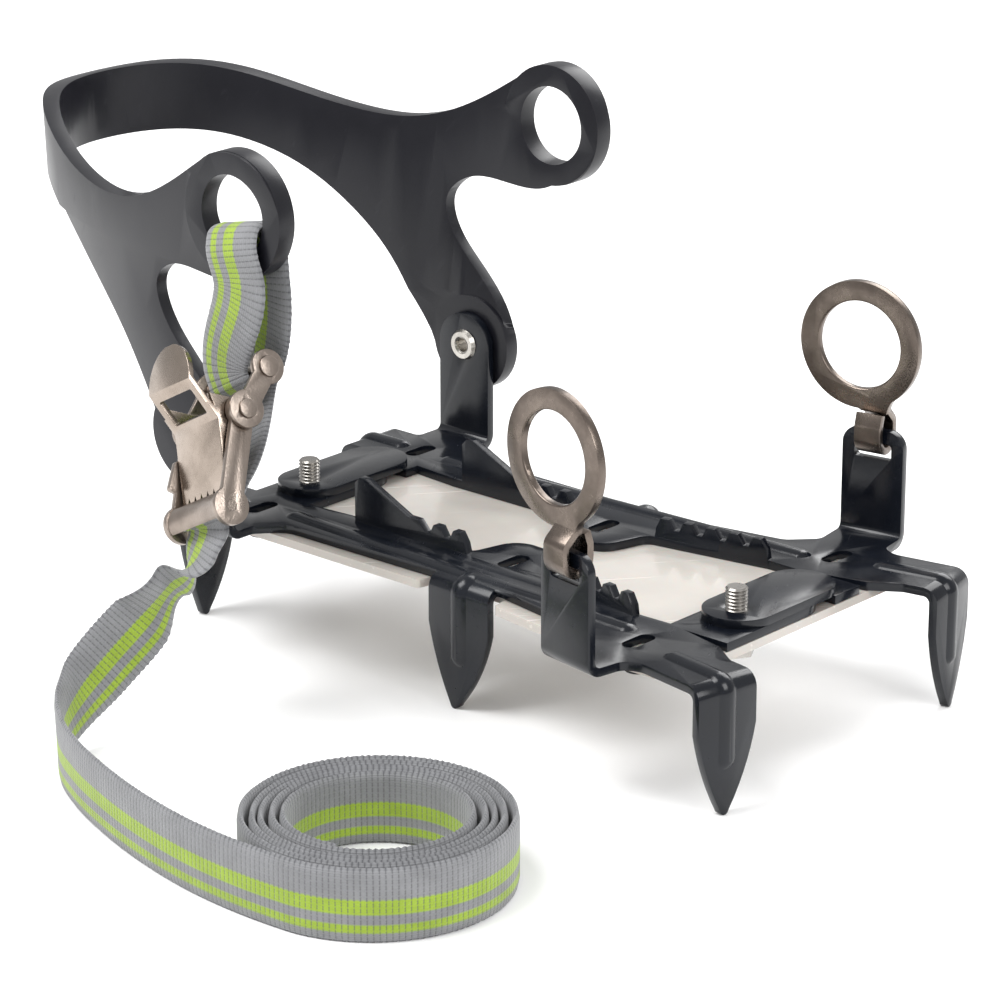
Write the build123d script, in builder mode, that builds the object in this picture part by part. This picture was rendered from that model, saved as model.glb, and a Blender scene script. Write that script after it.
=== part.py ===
from build123d import *

import os
from math import atan2, cos, degrees, pi, radians, sin, sqrt, tan

# Six-point crampon for one boot, with its heel piece, ring links, clamp buckle and webbing strap.
# +X points to the toe, +Z is up. The origin is on the ground, midway between the two side rails
# and in line with their middle slots. Millimetres.

# ---- driving dimensions: steel frame ----
SHEET = 2.0                  # rail steel
SPIKE_HEIGHT = 30.4          # ground to the rail's top face
BEND = 1.5                   # inside radius of every bend
BAR_INNER = 17.4             # middle of the frame to the rail's inner edge
BAR_WIDTH = 13.6
BAR_FLARE = 9.0              # degrees the front half of the rail turns outward
FLARE_START = 10.0           # where that turn begins, along X
ARM_WIDTH = 16.0             # front and rear arms, and the spikes bent from them
REAR_ARM_Y = 27.6
REAR_SPIKE_X = -86.0
FRONT_ARM_X = 62.0
FRONT_ARM_Y = 36.6
FRONT_TOE_OUT = 10.0
FRONT_SPIKE_X = 80.0
MID_SPIKE_WIDTH = 17.6
SLOT_LENGTH = 9.0
SLOT_WIDTH = 4.0
REAR_SLOT = (-67.8, 27.3)
MID_SLOT = (0.0, 15.7)
FRONT_SLOT = (52.4, 34.9)
LOBE_HALF_WIDTH = 8.8
LOBE_INNER = 4.5
RIB_WIDTH = 4.8
RIB_RISE = 1.0
RIB_ROOT = 0.6               # how deep a rib's solid starts inside the sheet

# ---- uprights ----
REAR_UPRIGHT_X = -68.2
REAR_UPRIGHT_Y = 44.4        # middle of its thickness
REAR_UPRIGHT_WIDTH = 15.6
PIVOT_Z = 53.4
FRONT_UPRIGHT_X = 48.4
FRONT_UPRIGHT_Y = 53.4
FRONT_UPRIGHT_WIDTH = 15.4
FRONT_UPRIGHT_TOP = 55.4
FRONT_UPRIGHT_TOE = 9.3
EYE_BAR_HEIGHT = 3.2         # steel left above the ring slot
EYE_SLOT_LENGTH = 9.4
EYE_SLOT_HEIGHT = 3.8

# ---- teeth ----
TAB_REAR_X = -45.4
TAB_TOP = 10.6               # above the rail's top face, at its rear end
TOOTH_HEIGHT = 4.6
TOOTH_DEPTH = 2.3
TOOTH_PITCH = 6.0
COMB_TEETH = 5
COMB_START = 13.0

# ---- cross tongues, bolts and plate ----
TONGUE_WIDTH = 16.4
REAR_TONGUE_X = -69.0
FRONT_TONGUE_X = 59.2
UPPER_TONGUE_END = -17.2
UPPER_TONGUE_STEP = 20.0
LOWER_TONGUE_END = 13.0
BOLT_Y = -10.0
BOLT_DIAMETER = 5.0
BOLT_PROUD = 5.2             # thread above the upper tongue
THREAD_PITCH = 0.8
HEAD_DIAMETER = 8.6
HEAD_HEIGHT = 3.0
WASHER_DIAMETER = 11.0
WASHER_THICKNESS = 1.0
PLATE_THICKNESS = 2.0
PLATE_OVERHANG = 3.0         # past the rails' outer edges
PLUG_DIAMETER = 6.0
PLUG_DROP = 2.4
PLUG_GAP = 0.05              # between a plug's stem and its hole

# ---- heel piece ----
HEEL_WALL = 3.2
HEEL_FRONT_X = -47.0         # where the band's round back begins
HEEL_REACH = 102.0           # from there to the back of the band
HEEL_HALF_WIDTH = 52.8       # middle of the wall at the lugs
LEG_HALF_WIDTH = 47.9        # middle of the wall at the pivots
LUG_X = -47.0
LUG_Z = 110.2
LUG_RADIUS = 14.5
LUG_HOLE = 18.8
LUG_INNER_Y = 50.8           # the lug's inward face
LUG_OUTER_Y = 55.6
LEG_END_RADIUS = 11.8
LEG_GAP = 0.4                # pivot washer's space on each side
ARM_RAISE = 0.9              # how far the arm stands out from the leg
ARM_EDGE_Z = 95.2            # the arm's lower boundary on the leg
RELIEF_SLOPE = 16.0          # degrees, inside the legs round the pivots
RELIEF_DEPTH = 5.8

# ---- rivets ----
RIVET_DIAMETER = 4.6
RIVET_BORE = 3.4
RIVET_HEAD = 7.6
RIVET_HEAD_HEIGHT = 0.9
FIT = 0.05                   # radial running clearance

# ---- ring links ----
RING_OUTER = 29.8
RING_INNER = 20.4
RING_THICKNESS = 2.0
RING_RISE = 20.8             # from the hinge line to the ring's middle
RING_LEAN = -4.2             # the ring's middle, back from the stem
STEM_WIDTH = 6.4
STEM_THICKNESS = 1.7
HOOK_RADIUS = 2.5            # inside the hook

# ---- buckle: origin on the roller's axis, X across, Z outward ----
BUCKLE = Plane(origin=(-37.5, -75.0, 48.2), x_dir=(0.877, -0.130, 0.463), z_dir=(-0.379, -0.780, 0.498))
WEBBING_WIDTH = 16.0
WEBBING_THICKNESS = 1.5
CHEEK_GAP = 19.2
CHEEK_THICKNESS = 1.5
LOBE_RADIUS = 4.3
NECK_WIDTH = 5.4
LEVER_AXLE = (21.9, 2.4)     # up the buckle, outward
STRAP_PIN = (33.3, -0.4)
AXLE_DIAMETER = 3.0
PIN_DIAMETER = 3.4
ROLLER_RADIUS = 1.2
GUARD_INNER = 3.1
GUARD_OUTER = 4.0
GUARD_START = 56.0           # degrees round the roller; 0 is up the buckle, 90 is outward
GUARD_END = 150.0
LINK_THICKNESS = 1.4
LEVER_THICKNESS = 1.3
LEVER_HALF_WIDTH = 9.2
LEVER_TEETH = 7
LEVER_TIP = (3.0, 0.2)       # the toothed edge
LEVER_SHOULDER = (19.0, 6.6)
LEVER_FOLD = (25.0, 15.4)
LEVER_END = (34.0, 17.6)
LINK_GAP = 0.1
WRAP = 2.1                   # middle of the webbing's thickness, round the roller
CLEAR = 0.35                 # webbing to its neighbours
FOLD_TILT = 12.0             # degrees the webbing leans where it folds over the lug

# ---- webbing on the floor ----
ROLL_CENTRE = (48.8, -113.3)
ROLL_OUTER = 28.2
ROLL_INNER = 18.4

RAIL_TOP = SPIKE_HEIGHT
RAIL_BOTTOM = RAIL_TOP - SHEET


def bar_inner(x):
    """The rail's inner edge at a place along X, before and after its outward turn."""
    return BAR_INNER + max(0.0, x - FLARE_START) * sin(radians(BAR_FLARE)) / cos(radians(BAR_FLARE))


def bent_leg(run, length, width, upward):
    """A strip that leaves the flat sheet at u = 0 and turns through a right angle, up or down."""

    def at(u, height):
        return (u, height if upward else SHEET - height)

    def quarter(radius):
        low = BEND + SHEET - radius
        return at(0, low), at(radius * sin(pi / 4), BEND + SHEET - radius * cos(pi / 4)), at(radius,
                                                                                             BEND + SHEET)

    outer_start, outer_mid, outer_end = quarter(BEND + SHEET)
    inner_start, inner_mid, inner_end = quarter(BEND)
    with BuildPart() as leg:
        with BuildSketch(Plane.XZ.offset(-width / 2)):
            with BuildLine():
                Line(at(-run, 0), outer_start)
                ThreePointArc(outer_start, outer_mid, outer_end)
                Polyline(outer_end, at(BEND + SHEET, SHEET + length), at(BEND, SHEET + length), inner_end)
                ThreePointArc(inner_end, inner_mid, inner_start)
                Polyline(inner_start, at(-run, SHEET), at(-run, 0))
            make_face()
        extrude(amount=width)
    return leg.part


def rib_radius():
    """The round of a pressed rib, from its width and its rise."""
    return (RIB_WIDTH ** 2 / 4 + RIB_RISE ** 2) / (2 * RIB_RISE)


def rib_section(plane):
    """The domed section of a pressed rib; the plane's origin is on the sheet, its Y axis away from it."""
    radius = rib_radius()
    half = sqrt(radius ** 2 - (radius - RIB_RISE - RIB_ROOT) ** 2)
    with BuildSketch(plane) as section:
        with BuildLine():
            ThreePointArc((-half, -RIB_ROOT), (0, RIB_RISE), (half, -RIB_ROOT))
            Line((half, -RIB_ROOT), (-half, -RIB_ROOT))
        make_face()
    return section.sketch


def rib_end():
    """The rounded end of a pressed rib, on the XY plane."""
    radius = rib_radius()
    half = sqrt(radius ** 2 - (radius - RIB_RISE - RIB_ROOT) ** 2)
    with BuildPart() as end:
        with BuildSketch(Plane.XZ):
            with BuildLine():
                RadiusArc((half, -RIB_ROOT), (0, RIB_RISE), -radius)
                Polyline((0, RIB_RISE), (0, -RIB_ROOT), (half, -RIB_ROOT))
            make_face()
        revolve(axis=Axis.Z, revolution_arc=360)
    return end.part


def spike(width, drop, tip, rib_run):
    """A pointed leg with its pressed rib; the tip is off the middle by `tip`."""
    half = width / 2
    shoulder = -0.32 * drop
    surface = BEND + SHEET
    leg = bent_leg(BEND + 2.5, drop, width, upward=False)
    end = rib_end()
    top_section = rib_section(Plane(origin=(0, 0, SHEET), x_dir=(0, -1, 0), z_dir=(-1, 0, 0)))
    bend_section = rib_section(Plane(origin=(0, 0, SHEET), x_dir=(0, 1, 0), z_dir=(1, 0, 0)))
    low_section = rib_section(Plane(origin=(surface, 0, -BEND), x_dir=(0, 1, 0), z_dir=(0, 0, -1)))
    with BuildPart() as point:
        add(leg)
        with BuildSketch(Plane.YZ.offset(-10)):
            with BuildLine():
                right = (half, shoulder)
                left = (-half, shoulder)
                tip_right = (tip + 1.1, 0.9 - drop)
                tip_left = (tip - 1.1, 0.9 - drop)
                Polyline(left, (-half, SHEET + 1), (half, SHEET + 1), right)
                ThreePointArc(right, (0.66 * half + 0.25 * tip, -0.66 * drop), tip_right)
                ThreePointArc(tip_right, (tip, -drop), tip_left)
                ThreePointArc(tip_left, (0.25 * tip - 0.66 * half, -0.66 * drop), left)
            make_face()
        extrude(amount=30, mode=Mode.INTERSECT)
        extrude(to_extrude=top_section, amount=rib_run)
        revolve(profiles=bend_section, axis=Axis((0, 0, -BEND), (0, 1, 0)), revolution_arc=90)
        extrude(to_extrude=low_section, amount=0.55 * drop - BEND)
        with Locations(Location((-rib_run, 0, SHEET)), Location((surface, 0, -0.55 * drop), (0, 90, 0))):
            add(end)
    return point.part


def straight_rib(start, end):
    """A pressed rib on the rail's top face."""
    length = sqrt((end[0] - start[0]) ** 2 + (end[1] - start[1]) ** 2)
    turn = degrees(atan2(end[1] - start[1], end[0] - start[0]))
    section = rib_section(Plane(origin=(0, 0, 0), x_dir=(0, 1, 0), z_dir=(1, 0, 0)))
    cap = rib_end()
    with BuildPart() as rib:
        extrude(to_extrude=section, amount=length)
        with Locations((0, 0, 0), (length, 0, 0)):
            add(cap)
    return rib.part.moved(Location((start[0], start[1], RAIL_TOP), (0, 0, turn)))


def toothed_plate(outline, start, turn):
    """A toothed tab bent up from the rail's inner edge; its outline is along the edge and up."""
    with BuildPart() as tab:
        with BuildSketch(Plane.XZ):
            with BuildLine():
                Polyline(*outline, close=True)
            make_face()
        extrude(amount=-SHEET)
        fillet(tab.edges().filter_by(Axis.X).group_by(Axis.Z)[0].sort_by(Axis.Y)[0], 1.2)
    return tab.part.moved(Location((start[0], start[1], RAIL_BOTTOM), (0, 0, turn)))


def tooth_row(first, count, base):
    """Blunt teeth along an edge: each with a flat crest and a rounded gullet between."""
    points = []
    for index in range(count):
        middle = first + index * TOOTH_PITCH
        points += [(middle - 2.3, base), (middle - 1.2, base + TOOTH_DEPTH),
                   (middle + 0.8, base + TOOTH_DEPTH),
                   (middle + 2.3, base)]
    return points


def side_rail(raised):
    """The left rail. `raised` lifts its two tongues by one sheet over the other rail's."""
    arm_turn = radians(FRONT_TOE_OUT)
    arm_along = (cos(arm_turn), sin(arm_turn))
    arm_across = (-sin(arm_turn), cos(arm_turn))
    arm_root = (FRONT_ARM_X, FRONT_ARM_Y)
    reach = (FRONT_SPIKE_X - BEND - SHEET / 2 - FRONT_ARM_X) / arm_along[0]
    half_arm = ARM_WIDTH / 2

    def on_arm(along, across):
        return (arm_root[0] + along * arm_along[0] + across * arm_across[0],
                arm_root[1] + along * arm_along[1] + across * arm_across[1])

    bar_outer = BAR_INNER + BAR_WIDTH
    rear_flat = REAR_SPIKE_X + BEND + SHEET / 2
    rear_ear = REAR_UPRIGHT_Y - BEND - SHEET / 2
    toe = radians(FRONT_UPRIGHT_TOE)
    ear_along = (cos(toe), sin(toe))
    ear_out = (-sin(toe), cos(toe))
    ear_depth = BEND + SHEET / 2

    def on_ear(along, out):
        return (FRONT_UPRIGHT_X + along * ear_along[0] + (out - ear_depth) * ear_out[0],
                FRONT_UPRIGHT_Y + along * ear_along[1] + (out - ear_depth) * ear_out[1])

    half_ear = FRONT_UPRIGHT_WIDTH / 2
    outline = [
        ((rear_flat, REAR_ARM_Y - half_arm), 0.5),
        ((REAR_TONGUE_X - TONGUE_WIDTH / 2, REAR_ARM_Y - half_arm), 2),
        ((REAR_TONGUE_X + TONGUE_WIDTH / 2, REAR_ARM_Y - half_arm - 1), 3),
        ((TAB_REAR_X - 3, BAR_INNER), 3),
        ((MID_SLOT[0] - LOBE_HALF_WIDTH - 2.5, BAR_INNER), 3),
        ((MID_SLOT[0] - LOBE_HALF_WIDTH + 0.6, LOBE_INNER), 6),
        ((MID_SLOT[0] + LOBE_HALF_WIDTH - 0.6, LOBE_INNER + 1), 6),
        ((FLARE_START + 1.5, BAR_INNER), 3),
        ((COMB_START + COMB_TEETH * TOOTH_PITCH, bar_inner(COMB_START + COMB_TEETH * TOOTH_PITCH)), 3),
        ((FRONT_TONGUE_X - TONGUE_WIDTH / 2, bar_inner(FRONT_TONGUE_X - TONGUE_WIDTH / 2) - 1.5), 3),
        ((FRONT_TONGUE_X + TONGUE_WIDTH / 2, FRONT_ARM_Y - half_arm - 2.5), 3),
        (on_arm(reach - 5, -half_arm), 3),
        (on_arm(reach, -half_arm), 0.5),
        (on_arm(reach, half_arm), 0.5),
        (on_arm(0.5, half_arm), 5),
        (on_ear(half_ear, -6), 3),
        (on_ear(half_ear, 0), 0.5),
        (on_ear(-half_ear, 0), 0.5),
        (on_ear(-half_ear, -8), 3),
        ((FRONT_UPRIGHT_X - half_ear - 4, bar_inner(FRONT_UPRIGHT_X - half_ear) + BAR_WIDTH), 4),
        ((FLARE_START, bar_outer), 3),
        ((REAR_UPRIGHT_X + REAR_UPRIGHT_WIDTH / 2 + 5, bar_outer + 0.8), 6),
        ((REAR_UPRIGHT_X + REAR_UPRIGHT_WIDTH / 2, rear_ear - 4), 2),
        ((REAR_UPRIGHT_X + REAR_UPRIGHT_WIDTH / 2, rear_ear), 0.5),
        ((REAR_UPRIGHT_X - REAR_UPRIGHT_WIDTH / 2, rear_ear), 0.5),
        ((REAR_UPRIGHT_X - REAR_UPRIGHT_WIDTH / 2, REAR_ARM_Y + half_arm), 1.5),
        ((rear_flat, REAR_ARM_Y + half_arm), 0.5),
    ]
    slots = (REAR_SLOT, MID_SLOT, FRONT_SLOT)
    tongue_end = UPPER_TONGUE_END if raised else -LOWER_TONGUE_END
    tongue_root = UPPER_TONGUE_STEP if raised else BAR_INNER + 6
    tongue_floor = RAIL_TOP if raised else RAIL_BOTTOM
    stub_end = LOWER_TONGUE_END + 1.6

    drop = RAIL_BOTTOM
    rear_spike = spike(ARM_WIDTH, drop, -1.6, 9.0)
    front_spike = spike(ARM_WIDTH, drop, 0.4, reach - 2.0)
    mid_spike = spike(MID_SPIKE_WIDTH, drop, 1.2, 1.4)
    rear_upright = bent_leg(1.0, PIVOT_Z + REAR_UPRIGHT_WIDTH / 2 - RAIL_TOP, REAR_UPRIGHT_WIDTH,
                            upward=True)
    front_upright = bent_leg(1.0, FRONT_UPRIGHT_TOP - RAIL_TOP, FRONT_UPRIGHT_WIDTH, upward=True)
    base = SHEET + TOOTH_HEIGHT - TOOTH_DEPTH
    tab_outline = [(0, 0), (0, TAB_TOP + SHEET - 1.5), (1.4, TAB_TOP + SHEET), (3.4, TAB_TOP + SHEET),
                   (16.4, SHEET + TOOTH_HEIGHT), (19.6, SHEET + TOOTH_HEIGHT), (21.8, base)]
    tab_outline += tooth_row(25.6, 2, base) + [(35.0, 0.3), (35.0, 0)]
    tab = toothed_plate(tab_outline, (TAB_REAR_X, BAR_INNER), 0)
    run = COMB_TEETH * TOOTH_PITCH
    comb_outline = [(0, 0)] + tooth_row(TOOTH_PITCH / 2, COMB_TEETH, base) + [(run, 0.3), (run, 0)]
    comb = toothed_plate(comb_outline, (COMB_START, bar_inner(COMB_START) - 0.1), BAR_FLARE)
    long_rib = straight_rib((-57.5, 26.4), (45.5, 30.6))

    with BuildPart() as rail:
        with BuildSketch(Plane.XY.offset(RAIL_BOTTOM)):
            with BuildLine():
                FilletPolyline(*[point for point, _ in outline], radius=[r for _, r in outline], close=True)
            make_face()
            if raised:
                for middle in (REAR_TONGUE_X, FRONT_TONGUE_X):
                    with Locations((middle, (stub_end + BAR_INNER + 6) / 2)):
                        Rectangle(TONGUE_WIDTH, BAR_INNER + 6 - stub_end)
        extrude(amount=SHEET)

        # cross tongues, round at the free end
        with BuildSketch(Plane.XY.offset(tongue_floor)):
            for middle in (REAR_TONGUE_X, FRONT_TONGUE_X):
                with Locations((middle, (tongue_end + tongue_root) / 2)):
                    SlotOverall(tongue_root - tongue_end, TONGUE_WIDTH, rotation=90)
                if not raised:
                    with Locations((middle, tongue_root - TONGUE_WIDTH / 4)):
                        Rectangle(TONGUE_WIDTH, TONGUE_WIDTH / 2)
        extrude(amount=SHEET)

        # spikes
        with Locations(Location((rear_flat, REAR_ARM_Y, RAIL_BOTTOM), (0, 0, 180))):
            add(rear_spike)
        with Locations(Location((*on_arm(reach, 0), RAIL_BOTTOM), (0, 0, FRONT_TOE_OUT))):
            add(front_spike)
        with Locations(Location((-0.2, bar_outer - 0.3, RAIL_BOTTOM), (0, 0, 90))):
            add(mid_spike)

        # uprights
        with Locations(Location((REAR_UPRIGHT_X, rear_ear, RAIL_BOTTOM), (0, 0, 90))):
            add(rear_upright)
        with Locations(Location((*on_ear(0, 0), RAIL_BOTTOM), (0, 0, 90 + FRONT_UPRIGHT_TOE))):
            add(front_upright)
        thickness_edges = rail.edges().filter_by(lambda edge: abs(edge.length - SHEET) < 0.01)
        front_top = FRONT_UPRIGHT_TOP
        fillet(thickness_edges.filter_by_position(Axis.Z, front_top - 0.1, front_top + 0.1), 4.2)
        thickness_edges = rail.edges().filter_by(lambda edge: abs(edge.length - SHEET) < 0.01)
        rear_top = PIVOT_Z + REAR_UPRIGHT_WIDTH / 2
        fillet(thickness_edges.filter_by_position(Axis.Z, rear_top - 0.1, rear_top + 0.1),
               REAR_UPRIGHT_WIDTH / 2 - 0.05)

        # toothed tab behind the middle slot, comb before it, and the long pressed rib
        add(tab)
        add(comb)
        add(long_rib)

        # slots, pivot hole, ring slot and bolt holes
        with BuildSketch(Plane.XY.offset(RAIL_BOTTOM - 1)):
            for place in slots:
                with Locations(place):
                    SlotOverall(SLOT_LENGTH, SLOT_WIDTH, rotation=90)
            for middle in (REAR_TONGUE_X, FRONT_TONGUE_X):
                if raised:
                    with Locations((middle, BOLT_Y)):
                        Circle(BOLT_DIAMETER / 2 + FIT)
                else:
                    with Locations((middle, -BOLT_Y - 4)):
                        SlotOverall(18, BOLT_DIAMETER + 0.6, rotation=90)
        extrude(amount=4 * SHEET, mode=Mode.SUBTRACT)
        with BuildSketch(Plane.XZ.offset(-REAR_UPRIGHT_Y - SHEET)):
            with Locations((REAR_UPRIGHT_X, PIVOT_Z)):
                Circle(RIVET_DIAMETER / 2 + FIT)
        extrude(amount=2 * SHEET, mode=Mode.SUBTRACT)
        eye = Plane(origin=(FRONT_UPRIGHT_X, FRONT_UPRIGHT_Y,
                            FRONT_UPRIGHT_TOP - EYE_BAR_HEIGHT - EYE_SLOT_HEIGHT / 2),
                    x_dir=(*ear_along, 0), z_dir=(*ear_out, 0))
        with BuildSketch(eye):
            RectangleRounded(EYE_SLOT_LENGTH, EYE_SLOT_HEIGHT, 0.9)
        extrude(amount=SHEET, both=True, mode=Mode.SUBTRACT)
    return rail.part


def ribbon(stations, width, thickness):
    """Webbing through stations of (point, across, outward): straight between one and the next."""
    rings = []
    for point, across, outward in stations:
        across_axis = Vector(*across).normalized()
        along = across_axis.cross(Vector(*outward)).normalized()
        out_axis = along.cross(across_axis)
        rings.append([Vector(*point) + across_axis * (x * width / 2) + out_axis * (y * thickness / 2)
                      for x, y in ((-1, -1), (1, -1), (1, 1), (-1, 1))])
    corners = [(rings[0][0], rings[0][1], rings[0][2]), (rings[0][0], rings[0][2], rings[0][3]),
               (rings[-1][0], rings[-1][1], rings[-1][2]), (rings[-1][0], rings[-1][2], rings[-1][3])]
    for ring, following in zip(rings, rings[1:]):
        for side in range(4):
            across_corner = (side + 1) % 4
            corners.append((ring[side], ring[across_corner], following[across_corner]))
            corners.append((ring[side], following[across_corner], following[side]))
    facets = [Face(Wire.make_polygon(corner, close=True)) for corner in corners]
    return Solid(Shell(facets))


def bar_between(start, end, width):
    """A straight bar between two points, for use inside a sketch."""
    middle = ((start[0] + end[0]) / 2, (start[1] + end[1]) / 2)
    length = sqrt((end[0] - start[0]) ** 2 + (end[1] - start[1]) ** 2)
    with Locations(middle):
        Rectangle(length, width, rotation=degrees(atan2(end[1] - start[1], end[0] - start[0])))


os.makedirs("parts", exist_ok=True)

# ---- side rails ----
left = side_rail(raised=True)
right = mirror(side_rail(raised=False), about=Plane.XZ)
with BuildPart() as left_rail:
    add(left)
left_rail.part.label = "left_rail"
export_step(left_rail.part, "parts/left_rail.step")

with BuildPart() as right_rail:
    add(right)
right_rail.part.label = "right_rail"
export_step(right_rail.part, "parts/right_rail.step")

# ---- anti-balling plate: notched round the middle spikes ----
PLATE_GAP = 0.15
plate_top = RAIL_BOTTOM - PLATE_GAP
plate_bottom = plate_top - PLATE_THICKNESS
side = BAR_INNER + BAR_WIDTH + PLATE_OVERHANG + 0.6
front_side = 41.5
notch = BAR_INNER + BAR_WIDTH - 1.6
notch_half = MID_SPIKE_WIDTH / 2 + 2.0
quarter_outline = [(-75.5, 30.0), (-70.0, side), (-notch_half - 1, side), (-notch_half, notch),
                   (notch_half, notch),
                   (notch_half + 1, side + 1), (50.0, front_side), (62.0, front_side), (67.5, 36.0)]
plate_outline = quarter_outline + [(x, -y) for x, y in reversed(quarter_outline)]
with BuildPart() as anti_balling_plate:
    with BuildSketch(Plane.XY.offset(plate_bottom)):
        with BuildLine():
            FilletPolyline(*plate_outline, radius=1.0, close=True)
        make_face()
        for middle in (REAR_TONGUE_X, FRONT_TONGUE_X):
            with Locations((middle, BOLT_Y)):
                SlotOverall(14, BOLT_DIAMETER + 0.6, rotation=90, mode=Mode.SUBTRACT)
        for x, y in (REAR_SLOT, FRONT_SLOT):
            with Locations((x, y), (x, -y)):
                Circle(PLUG_DIAMETER / 2 - 1, mode=Mode.SUBTRACT)
    extrude(amount=PLATE_THICKNESS)
anti_balling_plate.part.label = "anti_balling_plate"
export_step(anti_balling_plate.part, "parts/anti_balling_plate.step")

# ---- plugs that hold the plate under the rails' end slots ----
with BuildPart() as plate_plugs:
    for x, y in (REAR_SLOT, FRONT_SLOT):
        with BuildSketch(Plane.XY.offset(plate_bottom - PLUG_DROP)):
            with Locations((x, y), (x, -y)):
                Circle(PLUG_DIAMETER / 2)
        extrude(amount=PLUG_DROP)
        with BuildSketch(Plane.XY.offset(plate_bottom)):
            with Locations((x, y), (x, -y)):
                Circle(PLUG_DIAMETER / 2 - 1 - PLUG_GAP)
        extrude(amount=PLATE_THICKNESS)
plate_plugs.part.label = "plate_plugs"
export_step(plate_plugs.part, "parts/plate_plugs.step")

# ---- clamp bolts and their washers ----
bolt_places = [(REAR_TONGUE_X, BOLT_Y), (FRONT_TONGUE_X, BOLT_Y)]
head_top = plate_bottom - WASHER_THICKNESS
bolt_top = RAIL_TOP + SHEET + BOLT_PROUD
thread = []
turns = int((bolt_top - plate_top) / THREAD_PITCH)
for turn in range(turns):
    height = bolt_top - 0.4 - (turns - turn) * THREAD_PITCH
    thread += [(BOLT_DIAMETER / 2, height), (BOLT_DIAMETER / 2 - 0.42, height + THREAD_PITCH / 2)]
shank = [(0, head_top), (BOLT_DIAMETER / 2, head_top)] + thread + [(BOLT_DIAMETER / 2, bolt_top - 0.4),
                                                                   (BOLT_DIAMETER / 2 - 0.4,
                                                                    bolt_top), (0, bolt_top)]
with BuildPart() as one_bolt:
    with BuildSketch(Plane.XZ):
        with BuildLine():
            Polyline(*shank, close=True)
        make_face()
    revolve(axis=Axis.Z)
    with BuildSketch(Plane.XY.offset(head_top - HEAD_HEIGHT)):
        RegularPolygon(HEAD_DIAMETER / 2, 6)
    extrude(amount=HEAD_HEIGHT)
with BuildPart() as clamp_bolts:
    with Locations(*bolt_places):
        add(one_bolt.part)
clamp_bolts.part.label = "clamp_bolts"
export_step(clamp_bolts.part, "parts/clamp_bolts.step")

with BuildPart() as bolt_washers:
    with BuildSketch(Plane.XY.offset(head_top)):
        with Locations(*bolt_places):
            Circle(WASHER_DIAMETER / 2)
            Circle(BOLT_DIAMETER / 2 + FIT, mode=Mode.SUBTRACT)
    extrude(amount=WASHER_THICKNESS)
bolt_washers.part.label = "bolt_washers"
export_step(bolt_washers.part, "parts/bolt_washers.step")


# ---- heel piece ----
def heel_form(grow):
    """The round of the heel, widening upward, grown or shrunk from the wall's middle."""
    splay = (HEEL_HALF_WIDTH - LEG_HALF_WIDTH) / (LUG_Z - PIVOT_Z)
    with BuildPart() as form:
        for height in (PIVOT_Z - 25, LUG_Z + 30):
            half = LEG_HALF_WIDTH + (height - PIVOT_Z) * splay + grow
            reach = HEEL_REACH + grow
            with BuildSketch(Plane.XY.offset(height)):
                with BuildLine():
                    EllipticalCenterArc((HEEL_FRONT_X, 0), reach, half, start_angle=90, arc_size=180)
                    Polyline((HEEL_FRONT_X, -half), (-20, -half), (-20, half), (HEEL_FRONT_X, half))
                make_face()
        loft(ruled=True)
    return form.part


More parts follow.
